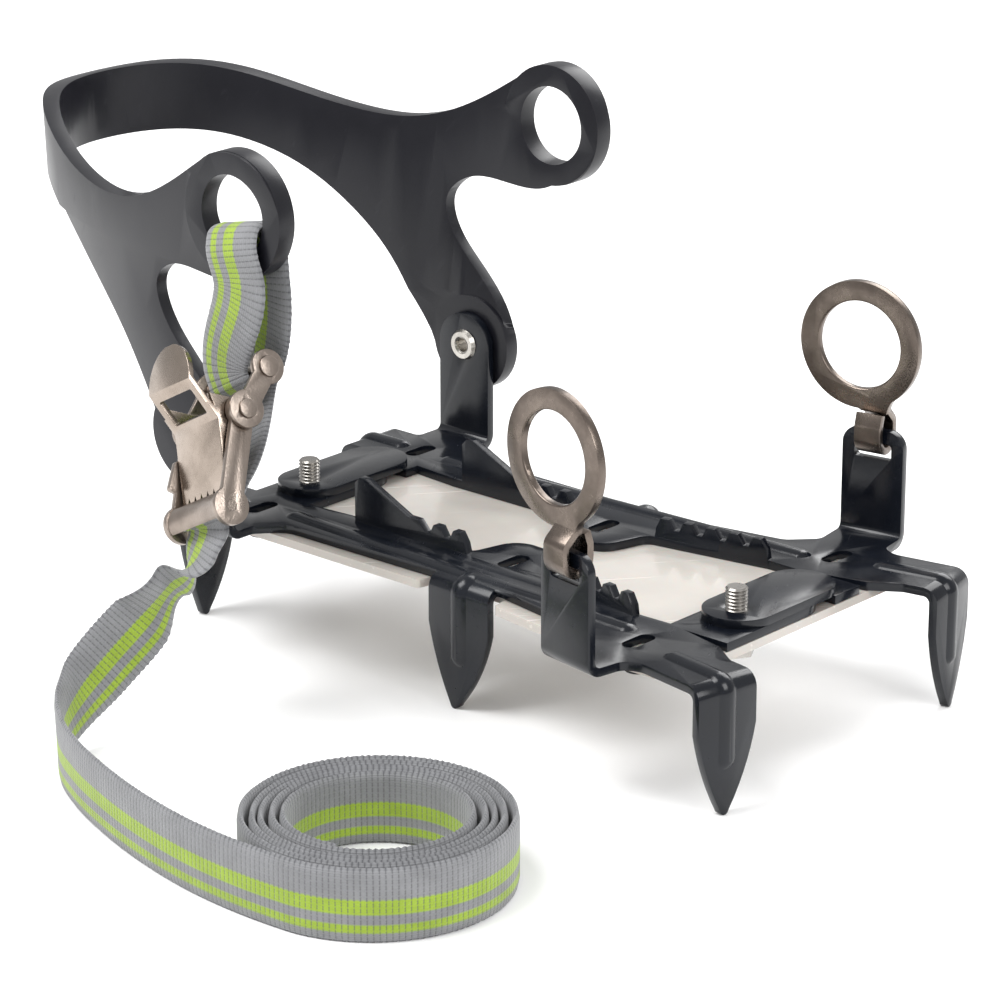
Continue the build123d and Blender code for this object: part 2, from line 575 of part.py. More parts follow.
pivot = (REAR_UPRIGHT_X, PIVOT_Z)
leg_inner_y = REAR_UPRIGHT_Y + SHEET / 2 + LEG_GAP
leg_outer_y = LEG_HALF_WIDTH + HEEL_WALL / 2 + 0.2
leg_edge = LEG_END_RADIUS - 0.2
relief_reach = LEG_END_RADIUS + 1 + RELIEF_DEPTH / tan(radians(RELIEF_SLOPE))
outer_form = heel_form(HEEL_WALL / 2)
inner_form = heel_form(-HEEL_WALL / 2)
raised_form = heel_form(HEEL_WALL / 2 + ARM_RAISE)
with BuildPart() as arm_band:
    add(raised_form)
    with BuildSketch(Plane.XY.offset(ARM_EDGE_Z)):
        with Locations((-100, 0)):
            Rectangle(260, 200)
    extrude(amount=80, mode=Mode.INTERSECT)
with BuildPart() as heel_piece:
    add(outer_form)
    add(arm_band.part)
    add(inner_form, mode=Mode.SUBTRACT)
    with BuildSketch(Plane.XZ.offset(-80)):
        with BuildLine():
            lug_top = (LUG_X - LUG_RADIUS * sin(radians(24)), LUG_Z + LUG_RADIUS * cos(radians(24)))
            lug_low = (LUG_X + 1, LUG_Z - LUG_RADIUS + 0.2)
            leg_back = (pivot[0] - leg_edge * cos(radians(14)), pivot[1] - leg_edge * sin(radians(14)))
            leg_front = (pivot[0] + leg_edge * cos(radians(16)), pivot[1] + leg_edge * sin(radians(16)))
            top_back = (-156.0, 114.4)
            low_back = (-156.0, 97.6)
            Spline(top_back, (-135.3, 115.4), (-116.6, 110.0), (-101.0, 106.6), (-88.5, 106.4),
                   (-76.8, 109.5),
                   (-63.4, 116.6), lug_top)
            Polyline(lug_top, (LUG_X, LUG_Z), lug_low)
            Spline(lug_low, (-60.5, 94.4), (-72.0, 93.4), (-76.8, 88.4), (-75.6, 81.6), (-69.0, 73.4),
                   (-60.2, 63.6),
                   leg_front)
            Polyline(leg_front, pivot, leg_back)
            Spline(leg_back, (-84.2, 60.0), (-92.9, 73.0), (-103.5, 83.2), (-113.9, 90.7), (-125.0, 96.2),
                   (-134.4, 99.0), (-143.0, 99.8), low_back)
            Line(low_back, top_back)
        make_face()
        with Locations((LUG_X, LUG_Z)):
            Circle(LUG_RADIUS - 0.1)
        with Locations(pivot):
            Circle(LEG_END_RADIUS - 0.4)
    extrude(amount=160, mode=Mode.INTERSECT)
    for turn in (-90, 90):
        start = (leg_inner_y - RELIEF_DEPTH) * (1 if turn < 0 else -1)
        with Locations(Location((pivot[0], start, pivot[1]), (turn, 0, 0))):
            Cone(relief_reach, LEG_END_RADIUS + 1, RELIEF_DEPTH,
                 align=(Align.CENTER, Align.CENTER, Align.MIN),
                 mode=Mode.SUBTRACT)
    for facing in (1, -1):
        with BuildSketch(Plane.XZ.offset(-facing * LUG_INNER_Y)):
            with Locations((LUG_X, LUG_Z)):
                Circle(LUG_RADIUS)
        extrude(amount=-facing * (LUG_OUTER_Y - LUG_INNER_Y))
        with BuildSketch(Plane.XZ.offset(-facing * leg_inner_y)):
            with Locations(pivot):
                Circle(LEG_END_RADIUS)
        extrude(amount=-facing * (leg_outer_y - leg_inner_y))
        with BuildSketch(Plane.XZ.offset(-facing * (LUG_INNER_Y - 4))):
            with Locations((LUG_X, LUG_Z)):
                Circle(LUG_HOLE / 2)
        extrude(amount=-facing * (LUG_OUTER_Y - LUG_INNER_Y + 8), mode=Mode.SUBTRACT)
        with BuildSketch(Plane.XZ.offset(-facing * (leg_inner_y - 2))):
            with Locations(pivot):
                Circle(RIVET_DIAMETER / 2 + FIT)
        extrude(amount=-facing * (leg_outer_y - leg_inner_y + 4), mode=Mode.SUBTRACT)
heel_piece.part.label = "heel_piece"
export_step(heel_piece.part, "parts/heel_piece.step")

# ---- hollow rivets and washers at the two pivots ----
rivet_inner = REAR_UPRIGHT_Y - SHEET / 2
rivet_profile = [
    (RIVET_BORE / 2, rivet_inner - RIVET_HEAD_HEIGHT + 0.3), (RIVET_BORE / 2 + 0.5,
                                                              rivet_inner - RIVET_HEAD_HEIGHT),
    (RIVET_HEAD / 2 - 0.5, rivet_inner - RIVET_HEAD_HEIGHT), (RIVET_HEAD / 2, rivet_inner),
    (RIVET_DIAMETER / 2, rivet_inner), (RIVET_DIAMETER / 2, leg_outer_y), (RIVET_HEAD / 2, leg_outer_y),
    (RIVET_HEAD / 2 - 0.5, leg_outer_y + RIVET_HEAD_HEIGHT),
    (RIVET_BORE / 2 + 0.5, leg_outer_y + RIVET_HEAD_HEIGHT), (RIVET_BORE / 2,
                                                              leg_outer_y + RIVET_HEAD_HEIGHT - 0.3)]
with BuildPart() as one_rivet:
    with BuildSketch(Plane.XY):
        with BuildLine():
            Polyline(*rivet_profile, close=True)
        make_face()
    revolve(axis=Axis.Y)
with BuildPart() as pivot_rivets:
    with Locations((pivot[0], 0, pivot[1])):
        add(one_rivet.part)
    mirror(about=Plane.XZ)
pivot_rivets.part.label = "pivot_rivets"
export_step(pivot_rivets.part, "parts/pivot_rivets.step")

with BuildPart() as pivot_washers:
    with BuildSketch(Plane.XZ.offset(-REAR_UPRIGHT_Y - SHEET / 2 - FIT)):
        with Locations(pivot):
            Circle(RIVET_HEAD / 2 + 1.4)
            Circle(RIVET_DIAMETER / 2 + FIT, mode=Mode.SUBTRACT)
    extrude(amount=-(LEG_GAP - 2 * FIT))
    mirror(about=Plane.XZ)
pivot_washers.part.label = "pivot_washers"
export_step(pivot_washers.part, "parts/pivot_washers.step")

# ---- ring links, drawn on the hinge line: X along it, Y outboard, Z up ----
hook_middle = HOOK_RADIUS + STEM_THICKNESS / 2
ring_middle = (RING_LEAN, RING_RISE)
ring_low = RING_RISE - RING_OUTER / 2
with BuildPart() as ring_form:
    with BuildSketch(Plane.XZ.offset(-RING_THICKNESS / 2)):
        with Locations(ring_middle):
            Circle(RING_OUTER / 2)
        with BuildLine():
            half = STEM_WIDTH / 2
            left_foot = (-half, ring_low - 0.4)
            right_foot = (half, ring_low - 0.4)
            left_root = (RING_LEAN + RING_OUTER / 2 * cos(radians(232)),
                         RING_RISE + RING_OUTER / 2 * sin(radians(232)))
            right_root = (RING_LEAN + RING_OUTER / 2 * cos(radians(316)),
                          RING_RISE + RING_OUTER / 2 * sin(radians(316)))
            Line(left_foot, right_foot)
            ThreePointArc(right_foot, ((half + right_root[0]) / 2 - 0.5,
                                       (ring_low + right_root[1]) / 2 + 0.4),
                          right_root)
            Polyline(right_root, ring_middle, left_root)
            ThreePointArc(left_root, ((left_root[0] - half) / 2 + 1.0,
                                      (ring_low + left_root[1]) / 2 - 0.2), left_foot)
        make_face()
        with Locations(ring_middle):
            Circle(RING_INNER / 2, mode=Mode.SUBTRACT)
    extrude(amount=RING_THICKNESS)
    round_edges = ring_form.edges().filter_by(GeomType.CIRCLE)
    fillet(round_edges.filter_by(lambda edge: abs(edge.radius - RING_INNER / 2) < 0.01), 0.5)
    with BuildLine(Plane.YZ) as hook:
        FilletPolyline((0, ring_low + 2.4), (0, ring_low + 0.6), (hook_middle, ring_low - 2.6),
                       (hook_middle, -hook_middle), (-hook_middle, -hook_middle), (-hook_middle,
                                                                                   2.8), (-2.5, 5.6),
                       radius=[1.2, 2.0, hook_middle - 0.05, hook_middle - 0.05, 1.6])
    with BuildSketch(Plane(origin=(0, 0, ring_low + 2.4), x_dir=(1, 0, 0), z_dir=(0, 0, -1))):
        Rectangle(STEM_WIDTH, STEM_THICKNESS)
    sweep(path=hook.wires()[0])

eye_axis_z = FRONT_UPRIGHT_TOP - EYE_BAR_HEIGHT / 2
with BuildPart() as left_ring:
    with Locations(Location((FRONT_UPRIGHT_X, FRONT_UPRIGHT_Y, eye_axis_z), (0, 0, FRONT_UPRIGHT_TOE))):
        add(ring_form.part)
left_ring.part.label = "left_ring"
export_step(left_ring.part, "parts/left_ring.step")

mirrored_ring = mirror(left_ring.part, about=Plane.XZ)
with BuildPart() as right_ring:
    add(mirrored_ring)
right_ring.part.label = "right_ring"
export_step(right_ring.part, "parts/right_ring.step")

# ---- buckle, drawn at its roller: X across, Y up, Z outward; then set on the strap ----
cheek_inner = CHEEK_GAP / 2
cheek_outer = cheek_inner + CHEEK_THICKNESS
link_inner = cheek_outer + LINK_GAP
link_outer = link_inner + LINK_THICKNESS
with BuildPart() as frame_form:
    with BuildSketch(Plane.YZ.offset(cheek_inner)):
        Circle(LOBE_RADIUS)
        with Locations(LEVER_AXLE):
            Circle(LOBE_RADIUS - 0.4)
        bar_between((0, 0), LEVER_AXLE, NECK_WIDTH)
        with Locations(LEVER_AXLE):
            Circle(AXLE_DIAMETER / 2 + FIT, mode=Mode.SUBTRACT)
        Circle(ROLLER_RADIUS + FIT, mode=Mode.SUBTRACT)
    extrude(amount=CHEEK_THICKNESS)
    mirror(about=Plane.YZ)
    with BuildSketch(Plane.YZ.offset(-cheek_inner)):
        with BuildLine():
            start_angle, end_angle = radians(GUARD_START), radians(GUARD_END)
            middle_angle = (start_angle + end_angle) / 2
            corners = [(radius * cos(angle), radius * sin(angle)) for radius in (GUARD_INNER, GUARD_OUTER)
                       for angle in (start_angle, middle_angle, end_angle)]
            ThreePointArc(corners[0], corners[1], corners[2])
            Line(corners[2], corners[5])
            ThreePointArc(corners[5], corners[4], corners[3])
            Line(corners[3], corners[0])
        make_face()
    extrude(amount=CHEEK_GAP)
    with BuildSketch(Plane.YZ.offset(-cheek_outer)):
        with Locations((10.0, 4.0)):
            RectangleRounded(7.2, 2.6, 0.8)
    extrude(amount=CHEEK_THICKNESS)
with BuildPart() as buckle_frame:
    add(frame_form.part.moved(BUCKLE.location))
buckle_frame.part.label = "buckle_frame"
export_step(buckle_frame.part, "parts/buckle_frame.step")

with BuildPart() as link_form:
    with BuildSketch(Plane.YZ.offset(link_inner)):
        with Locations(LEVER_AXLE):
            Circle(LOBE_RADIUS)
        with Locations(STRAP_PIN):
            Circle(LOBE_RADIUS - 0.3)
        bar_between(LEVER_AXLE, STRAP_PIN, NECK_WIDTH - 0.6)
        with Locations(LEVER_AXLE):
            Circle(AXLE_DIAMETER / 2 + FIT, mode=Mode.SUBTRACT)
        with Locations(STRAP_PIN):
            Circle(PIN_DIAMETER / 2 + FIT, mode=Mode.SUBTRACT)
    extrude(amount=LINK_THICKNESS)
    mirror(about=Plane.YZ)
with BuildPart() as buckle_links:
    add(link_form.part.moved(BUCKLE.location))
buckle_links.part.label = "buckle_links"
export_step(buckle_links.part, "parts/buckle_links.step")


def headed_pin(place, radius, reach, head):
    """A pin across the buckle with a low head at each end."""
    with BuildPart() as pin:
        with BuildSketch(Plane.YZ.offset(-reach)):
            with Locations(place):
                Circle(radius)
        extrude(amount=2 * reach)
        if head:
            for start in (-reach - head, reach):
                with BuildSketch(Plane.YZ.offset(start)):
                    with Locations(place):
                        Circle(radius + 0.7)
                extrude(amount=head)
    return pin.part.moved(BUCKLE.location)


axle_solid = headed_pin(LEVER_AXLE, AXLE_DIAMETER / 2, link_outer + 0.05, 0.7)
pin_solid = headed_pin(STRAP_PIN, PIN_DIAMETER / 2, link_outer + 0.05, 0.5)
roller_solid = headed_pin((0, 0), ROLLER_RADIUS, cheek_outer, 0)
with BuildPart() as lever_axle:
    add(axle_solid)
lever_axle.part.label = "lever_axle"
export_step(lever_axle.part, "parts/lever_axle.step")
with BuildPart() as strap_pin:
    add(pin_solid)
strap_pin.part.label = "strap_pin"
export_step(strap_pin.part, "parts/strap_pin.step")
with BuildPart() as roller_pin:
    add(roller_solid)
roller_pin.part.label = "roller_pin"
export_step(roller_pin.part, "parts/roller_pin.step")

rise = atan2(LEVER_SHOULDER[1] - LEVER_TIP[1], LEVER_SHOULDER[0] - LEVER_TIP[0])
slope = atan2(LEVER_FOLD[1] - LEVER_SHOULDER[1], LEVER_FOLD[0] - LEVER_SHOULDER[0])
tooth_pitch = 2 * LEVER_HALF_WIDTH / LEVER_TEETH
with BuildPart() as lever_form:
    with BuildSketch(Plane.YZ.offset(-LEVER_HALF_WIDTH)):
        bar_between(LEVER_TIP, LEVER_SHOULDER, LEVER_THICKNESS)
        bar_between(LEVER_SHOULDER, LEVER_FOLD, LEVER_THICKNESS)
        bar_between(LEVER_FOLD, LEVER_END, LEVER_THICKNESS)
        with Locations(LEVER_SHOULDER, LEVER_FOLD):
            Circle(LEVER_THICKNESS / 2)
    extrude(amount=2 * LEVER_HALF_WIDTH)
    # thumb end, rounded
    with BuildSketch(Plane.XY.offset(LEVER_FOLD[1] - 4)):
        with Locations((0, LEVER_END[0] - 13)):
            Rectangle(2 * LEVER_HALF_WIDTH + 1, 60, align=(Align.CENTER, Align.MAX))
        with Locations((0, LEVER_END[0] - 8.4)):
            Ellipse(LEVER_HALF_WIDTH - 0.6, 8.4)
            Rectangle(2 * LEVER_HALF_WIDTH - 1.2, 8, align=(Align.CENTER, Align.MAX))
    extrude(amount=30, both=True, mode=Mode.INTERSECT)
    # window in the sloping part
    middle = ((LEVER_SHOULDER[0] + LEVER_FOLD[0]) / 2, (LEVER_SHOULDER[1] + LEVER_FOLD[1]) / 2)
    with BuildSketch(Plane(origin=(0, *middle), x_dir=(1, 0, 0), z_dir=(0, -sin(slope), cos(slope)))):
        RectangleRounded(13.4, 6.4, 0.6)
    extrude(amount=4, both=True, mode=Mode.SUBTRACT)
    # teeth
    with BuildSketch(Plane(origin=(0, *LEVER_TIP), x_dir=(1, 0, 0), z_dir=(0, -sin(rise), cos(rise)))):
        for index in range(LEVER_TEETH):
            across = (index - (LEVER_TEETH - 1) / 2) * tooth_pitch
            with Locations((across + tooth_pitch / 2, 0)):
                Triangle(a=2.0, b=2.6, c=2.6, align=(Align.CENTER, Align.MIN), rotation=0)
    extrude(amount=3, both=True, mode=Mode.SUBTRACT)
    # flanges down to the axle
    for start in (-LEVER_HALF_WIDTH, LEVER_HALF_WIDTH - LEVER_THICKNESS):
        with BuildSketch(Plane.YZ.offset(start)):
            with BuildLine():
                Polyline((11.0, 3.5), (LEVER_AXLE[0] - 3.0, LEVER_AXLE[1] - 1.4),
                         (LEVER_AXLE[0] + 3.0, LEVER_AXLE[1]),
                         (LEVER_AXLE[0] + 1.4, 10.6), (LEVER_SHOULDER[0] - 0.4,
                                                       LEVER_SHOULDER[1]), close=True)
            make_face()
            with Locations(LEVER_AXLE):
                Circle(3.2)
                Circle(AXLE_DIAMETER / 2 + FIT, mode=Mode.SUBTRACT)
        extrude(amount=LEVER_THICKNESS)
with BuildPart() as buckle_lever:
    add(lever_form.part.moved(BUCKLE.location))
buckle_lever.part.label = "buckle_lever"
export_step(buckle_lever.part, "parts/buckle_lever.step")

# ---- lever spring: a close coil round the axle ----
SPRING_WIRE = 0.8
SPRING_TURNS = 8
spring_inner = AXLE_DIAMETER / 2 + 0.35
coil = [(spring_inner, -SPRING_TURNS * SPRING_WIRE / 2)]
for turn in range(SPRING_TURNS):
    start = (turn - SPRING_TURNS / 2) * SPRING_WIRE
    coil += [(spring_inner + SPRING_WIRE * 0.7, start), (spring_inner + SPRING_WIRE,
                                                         start + SPRING_WIRE / 2)]
coil += [(spring_inner + SPRING_WIRE * 0.7, SPRING_TURNS * SPRING_WIRE / 2),
         (spring_inner, SPRING_TURNS * SPRING_WIRE / 2)]
with BuildPart() as spring_form:
    with BuildSketch(Plane.XZ):
        with BuildLine():
            Polyline(*[(reach, height) for reach, height in coil], close=True)
        make_face()
    revolve(axis=Axis.Z)
spring_place = BUCKLE.location * Location((0, *LEVER_AXLE), (0, 90, 0))
with BuildPart() as lever_spring:
    add(spring_form.part.moved(spring_place))
lever_spring.part.label = "lever_spring"
export_step(lever_spring.part, "parts/lever_spring.step")


# ---- webbing ----
def on_buckle(up, out):
    """A place on the buckle's middle plane."""
    return BUCKLE.origin + BUCKLE.y_dir * up + BUCKLE.z_dir * out


def round_pin(centre, radius, angle):
    """A webbing station round one of the buckle's pins; 0 degrees is up the buckle, 90 is outward."""
    turn = radians(angle)
    outward = BUCKLE.y_dir * cos(turn) + BUCKLE.z_dir * sin(turn)
    place = on_buckle(centre[0] + radius * cos(turn), centre[1] + radius * sin(turn))
    return place, BUCKLE.x_dir, outward


pin_wrap = PIN_DIAMETER / 2 + WEBBING_THICKNESS / 2 + CLEAR
fold_tilt = radians(FOLD_TILT)
fold_up = Vector(-sin(fold_tilt), 0, cos(fold_tilt))
fold_across = Vector(cos(fold_tilt), 0, sin(fold_tilt))
fold_centre = Vector(LUG_X, -(LUG_INNER_Y + LUG_OUTER_Y) / 2, LUG_Z) - fold_up * (LUG_HOLE / 2)
fold_side = (LUG_OUTER_Y - LUG_INNER_Y) / 2 + WEBBING_THICKNESS / 2 + CLEAR
fold_chord = LUG_HOLE / 2 - sqrt((LUG_HOLE / 2) ** 2 - (WEBBING_WIDTH / 2) ** 2)
fold_rise = fold_chord + WEBBING_THICKNESS / 2 + CLEAR
loop_stations = [round_pin(STRAP_PIN, pin_wrap, angle) for angle in (230, 190, 150, 110)]
fold_steps = [(1.06, -0.95, 0), (1.14, 0.66, 16), (0.74, 1.12, 55), (0, 1.25, 90), (-0.74, 1.12, 125),
              (-1.14, 0.66, 164), (-1.14, -1.22, 178)]
for aside, above, angle in fold_steps:
    place = fold_centre + Vector(0, -aside * fold_side, 0) + fold_up * (above * fold_rise)
    outward = Vector(0, -cos(radians(angle)), 0) + fold_up * sin(radians(angle))
    loop_stations.append((place, fold_across, outward))
loop_stations += [(on_buckle(STRAP_PIN[0] + 2, -pin_wrap - 2.4), BUCKLE.x_dir, -BUCKLE.z_dir),
                  (on_buckle(9.0, -4.6), BUCKLE.x_dir, -BUCKLE.z_dir)]
loop_stations += [round_pin((0, 0), WRAP, angle) for angle in (-40, 0, 40, 80, 115, 150)]

strap_loop_solid = ribbon(loop_stations, WEBBING_WIDTH, WEBBING_THICKNESS)
with BuildPart() as strap_loop:
    add(strap_loop_solid)
strap_loop.part.label = "strap_loop"
export_step(strap_loop.part, "parts/strap_loop.step")

upright = Vector(0, 0, 1)
half_width = WEBBING_WIDTH / 2
leaving = round_pin((0, 0), WRAP, 185)
tail_stations = [
    leaving,
    (Vector(-36.8, -77.4, 41.0), Vector(0.82, -0.10, 0.52), Vector(-0.42, -0.72, 0.45)),
    (Vector(-38.0, -79.6, 37.0), Vector(0.72, 0.05, 0.66), Vector(-0.60, -0.56, 0.50)),
    (Vector(-41.0, -83.0, 33.6), Vector(0.50, 0.20, 0.84), Vector(-0.80, -0.30, 0.50)),
    (Vector(-44.0, -89.0, 26.0), Vector(0.05, 0.15, 0.98), Vector(-0.97, -0.10, 0.10)),
    (Vector(-47.0, -97.0, 18.2), Vector(-0.20, -0.05, 0.97), Vector(-0.95, -0.25, -0.10)),
    (Vector(-47.6, -105.0, 12.4), Vector(-0.16, -0.05, 0.98), Vector(-0.93, -0.36, -0.08)),
    (Vector(-44.0, -113.5, 9.2), Vector(-0.06, -0.03, 1.0), Vector(-0.85, -0.52, 0.0)),
    (Vector(-36.0, -121.0, half_width), upright, Vector(-0.68, -0.73, 0.0)),
    (Vector(-25.0, -127.4, half_width), upright, Vector(-0.50, -0.86, 0.0)),
    (Vector(-10.0, -133.5, half_width), upright, Vector(-0.38, -0.92, 0.0)),
    (Vector(8.0, -138.8, half_width), upright, Vector(-0.24, -0.97, 0.0)),
    (Vector(26.0, -142.0, half_width), upright, Vector(-0.12, -0.99, 0.0)),
    (Vector(ROLL_CENTRE[0], ROLL_CENTRE[1] - ROLL_OUTER - WEBBING_THICKNESS / 2 - 0.15, half_width), upright,
     Vector(0, -1, 0)),
]
strap_tail_solid = ribbon(tail_stations, WEBBING_WIDTH, WEBBING_THICKNESS)
with BuildPart() as strap_tail:
    add(strap_tail_solid)
strap_tail.part.label = "strap_tail"
export_step(strap_tail.part, "parts/strap_tail.step")

with BuildPart() as strap_roll:
    with BuildSketch():
        with Locations(ROLL_CENTRE):
            Circle(ROLL_OUTER)
            Circle(ROLL_INNER, mode=Mode.SUBTRACT)
    extrude(amount=WEBBING_WIDTH)
strap_roll.part.label = "strap_roll"
export_step(strap_roll.part, "parts/strap_roll.step")
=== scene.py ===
"""A boot crampon: steel rails, heel piece, ring links, clamp buckle and a long striped strap.

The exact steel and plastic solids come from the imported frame. This script rounds their edges,
weaves the strap, winds the spring, and gives every surface its finish. Lengths are in metres.
"""

import logging
from dataclasses import dataclass, field
from enum import Enum
from math import cos, pi, radians, sin

import bpy
from mathutils import Matrix, Vector

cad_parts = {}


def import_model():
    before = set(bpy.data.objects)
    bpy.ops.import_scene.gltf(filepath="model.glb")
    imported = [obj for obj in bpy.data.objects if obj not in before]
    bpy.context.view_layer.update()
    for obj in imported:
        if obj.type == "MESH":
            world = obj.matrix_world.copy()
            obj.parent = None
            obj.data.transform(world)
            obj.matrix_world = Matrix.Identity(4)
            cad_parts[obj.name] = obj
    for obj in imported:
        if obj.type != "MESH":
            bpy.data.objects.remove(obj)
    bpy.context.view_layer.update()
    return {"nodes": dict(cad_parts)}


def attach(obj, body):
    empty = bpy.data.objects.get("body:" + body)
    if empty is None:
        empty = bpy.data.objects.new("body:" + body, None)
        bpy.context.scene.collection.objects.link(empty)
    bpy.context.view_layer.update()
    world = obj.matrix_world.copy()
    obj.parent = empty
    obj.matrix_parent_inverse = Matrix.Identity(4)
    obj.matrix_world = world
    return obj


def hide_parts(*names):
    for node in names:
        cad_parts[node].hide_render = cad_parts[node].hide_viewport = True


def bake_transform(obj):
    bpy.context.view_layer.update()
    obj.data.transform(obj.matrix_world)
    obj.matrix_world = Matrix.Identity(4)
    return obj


LOG = logging.getLogger("crampon")
MM = 0.001
Colour = tuple[float, float, float]


# ---------------------------------------------------------------- shader arithmetic
class Signal:
    """A node's output that takes part in ordinary arithmetic."""

    def __init__(self, shader: "Shader", socket: bpy.types.NodeSocket) -> None:
        """Wraps one output of one shader.

        Args:
            shader: the shader that owns the socket.
            socket: the output that carries the value.
        """
        self.shader = shader
        self.socket = socket

    def using(self, operation: str, *others: "Signal | float", clamp: bool = False) -> "Signal":
        """Puts this value through a Math node.

        Args:
            operation: the Math node's operation.
            others: its further inputs, in order.
            clamp: whether the result is held between 0 and 1.

        Returns:
            The Math node's result.
        """
        inputs = dict(enumerate((self, *others)))
        return self.shader.node("ShaderNodeMath", {"operation": operation, "use_clamp": clamp}, inputs)

    def __add__(self, other: "Signal | float") -> "Signal":
        """Adds a value."""
        return self.using("ADD", other)

    def __sub__(self, other: "Signal | float") -> "Signal":
        """Takes a value away."""
        return self.using("SUBTRACT", other)

    def __rsub__(self, other: float) -> "Signal":
        """Takes this value away from a number."""
        return (self * -1.0).using("ADD", other)

    def __mul__(self, other: "Signal | float") -> "Signal":
        """Multiplies by a value."""
        return self.using("MULTIPLY", other)

    __radd__ = __add__
    __rmul__ = __mul__

    def fraction(self) -> "Signal":
        """The part after the decimal point."""
        return self.using("FRACT")

    def whole(self) -> "Signal":
        """The next whole number down."""
        return self.using("FLOOR")

    def crown(self) -> "Signal":
        """A rounded bump over a value that runs from 0 to 1."""
        return self.using("MULTIPLY", 1.0 - self) * 4.0

    def between(self, low: float, high: float, soft: float = 0.012) -> "Signal":
        """1 where the value lies between two limits, with soft edges.

        Args:
            low: the lower limit.
            high: the upper limit.
            soft: how far each edge takes to change.

        Returns:
            The mask.
        """
        return self.ramp(low - soft, low + soft) * (1.0 - self.ramp(high - soft, high + soft))

    def ramp(self, start: float, end: float, low: float = 0.0, high: float = 1.0) -> "Signal":
        """Maps start..end onto low..high and holds it there outside.

        Args:
            start: the value that gives low.
            end: the value that gives high.
            low: the result at start.
            high: the result at end.

        Returns:
            The mapped value.
        """
        values = {"Value": self, "From Min": start, "From Max": end, "To Min": low, "To Max": high}
        return self.shader.node("ShaderNodeMapRange", {"clamp": True}, values)


class Shader:
    """The node tree of one finish."""

    def __init__(self, name: str) -> None:
        """Starts a material with its surface shader.

        Args:
            name: the material's name.
        """
        self.material = bpy.data.materials.new(name)
        self.material.use_nodes = True
        self.tree = self.material.node_tree
        self.surface = self.tree.nodes["Principled BSDF"]

    def node(self, kind: str, settings: dict[str, object] | None = None,
             inputs: dict[int | str, object] | None = None, output: int | str = 0) -> Signal:
        """Adds a node.

        Args:
            kind: the node's type.
            settings: its properties, set before its inputs.
            inputs: numbers, colours or signals for its sockets.
            output: which output is wanted.

        Returns:
            That output.
        """
        node = self.tree.nodes.new(kind)
        for name, value in (settings or {}).items():
            setattr(node, name, value)
        for name, value in (inputs or {}).items():
            self.feed(node.inputs[name], value)
        return Signal(self, node.outputs[output])

    def feed(self, socket: bpy.types.NodeSocket, value: object) -> None:
        """Sets a socket, or links a signal to it.

        Args:
            socket: the input to set.
            value: a number, a colour or a signal.
        """
        if isinstance(value, Signal):
            self.tree.links.new(value.socket, socket)
        elif isinstance(value, tuple) and len(value) == 3 and len(getattr(socket, "default_value", ())) == 4:
            socket.default_value = (*value, 1.0)
        else:
            socket.default_value = value

    def set(self, **values: object) -> None:
        """Sets the surface's sockets, whose names are written with underscores."""
        for name, value in values.items():
            self.feed(self.surface.inputs[name.replace("_", " ")], value)

    def place(self) -> Signal:
        """The piece's own coordinates."""
        return self.node("ShaderNodeTexCoord", output="Object")

    def stretched(self, scale: tuple[float, float, float],
                  turn: tuple[float, float, float] = (0, 0, 0)) -> Signal:
        """The piece's own coordinates, turned and then scaled along each axis."""
        return self.node("ShaderNodeMapping", {"vector_type": "TEXTURE"}, {
            "Vector": self.place(), "Rotation": turn, "Scale": tuple(1.0 / value for value in scale)})

    def noise(self, scale: float, detail: float = 3.0, place: Signal | None = None) -> Signal:
        """A cloudy pattern.

        Args:
            scale: how many clouds to a metre.
            detail: how many finer layers it has.
            place: the coordinates, or the piece's own.

        Returns:
            The pattern, from 0 to 1.
        """
        values = {"Vector": place or self.place(), "Scale": scale, "Detail": detail, "Roughness": 0.6}
        return self.node("ShaderNodeTexNoise", {}, values)

    def cells(self, scale: float, place: Signal | None = None) -> Signal:
        """How far a point is from the middle of its cell."""
        return self.node("ShaderNodeTexVoronoi", {}, {"Vector": place or self.place(), "Scale": scale})

    def mix(self, factor: Signal | float, first: object, second: object, blend: str = "MIX") -> Signal:
        """Mixes two colours.

        Args:
            factor: how much of the second.
            first: a colour.
            second: another.
            blend: how they meet.

        Returns:
            The mixed colour.
        """
        return self.node("ShaderNodeMix", {"data_type": "RGBA", "blend_type": blend},
                         {0: factor, 6: first, 7: second}, 2)

    def bump(self, height: Signal, distance: float, strength: float = 1.0,
             under: Signal | None = None) -> Signal:
        """Raises the surface by a height.

        Args:
            height: the height's pattern.
            distance: how far 1 stands up, in metres.
            strength: how much of it is felt.
            under: a bump that this one lies on.

        Returns:
            The bent normal.
        """
        values = {"Height": height, "Distance": distance, "Strength": strength}
        if under:
            values["Normal"] = under
        return self.node("ShaderNodeBump", {}, values)


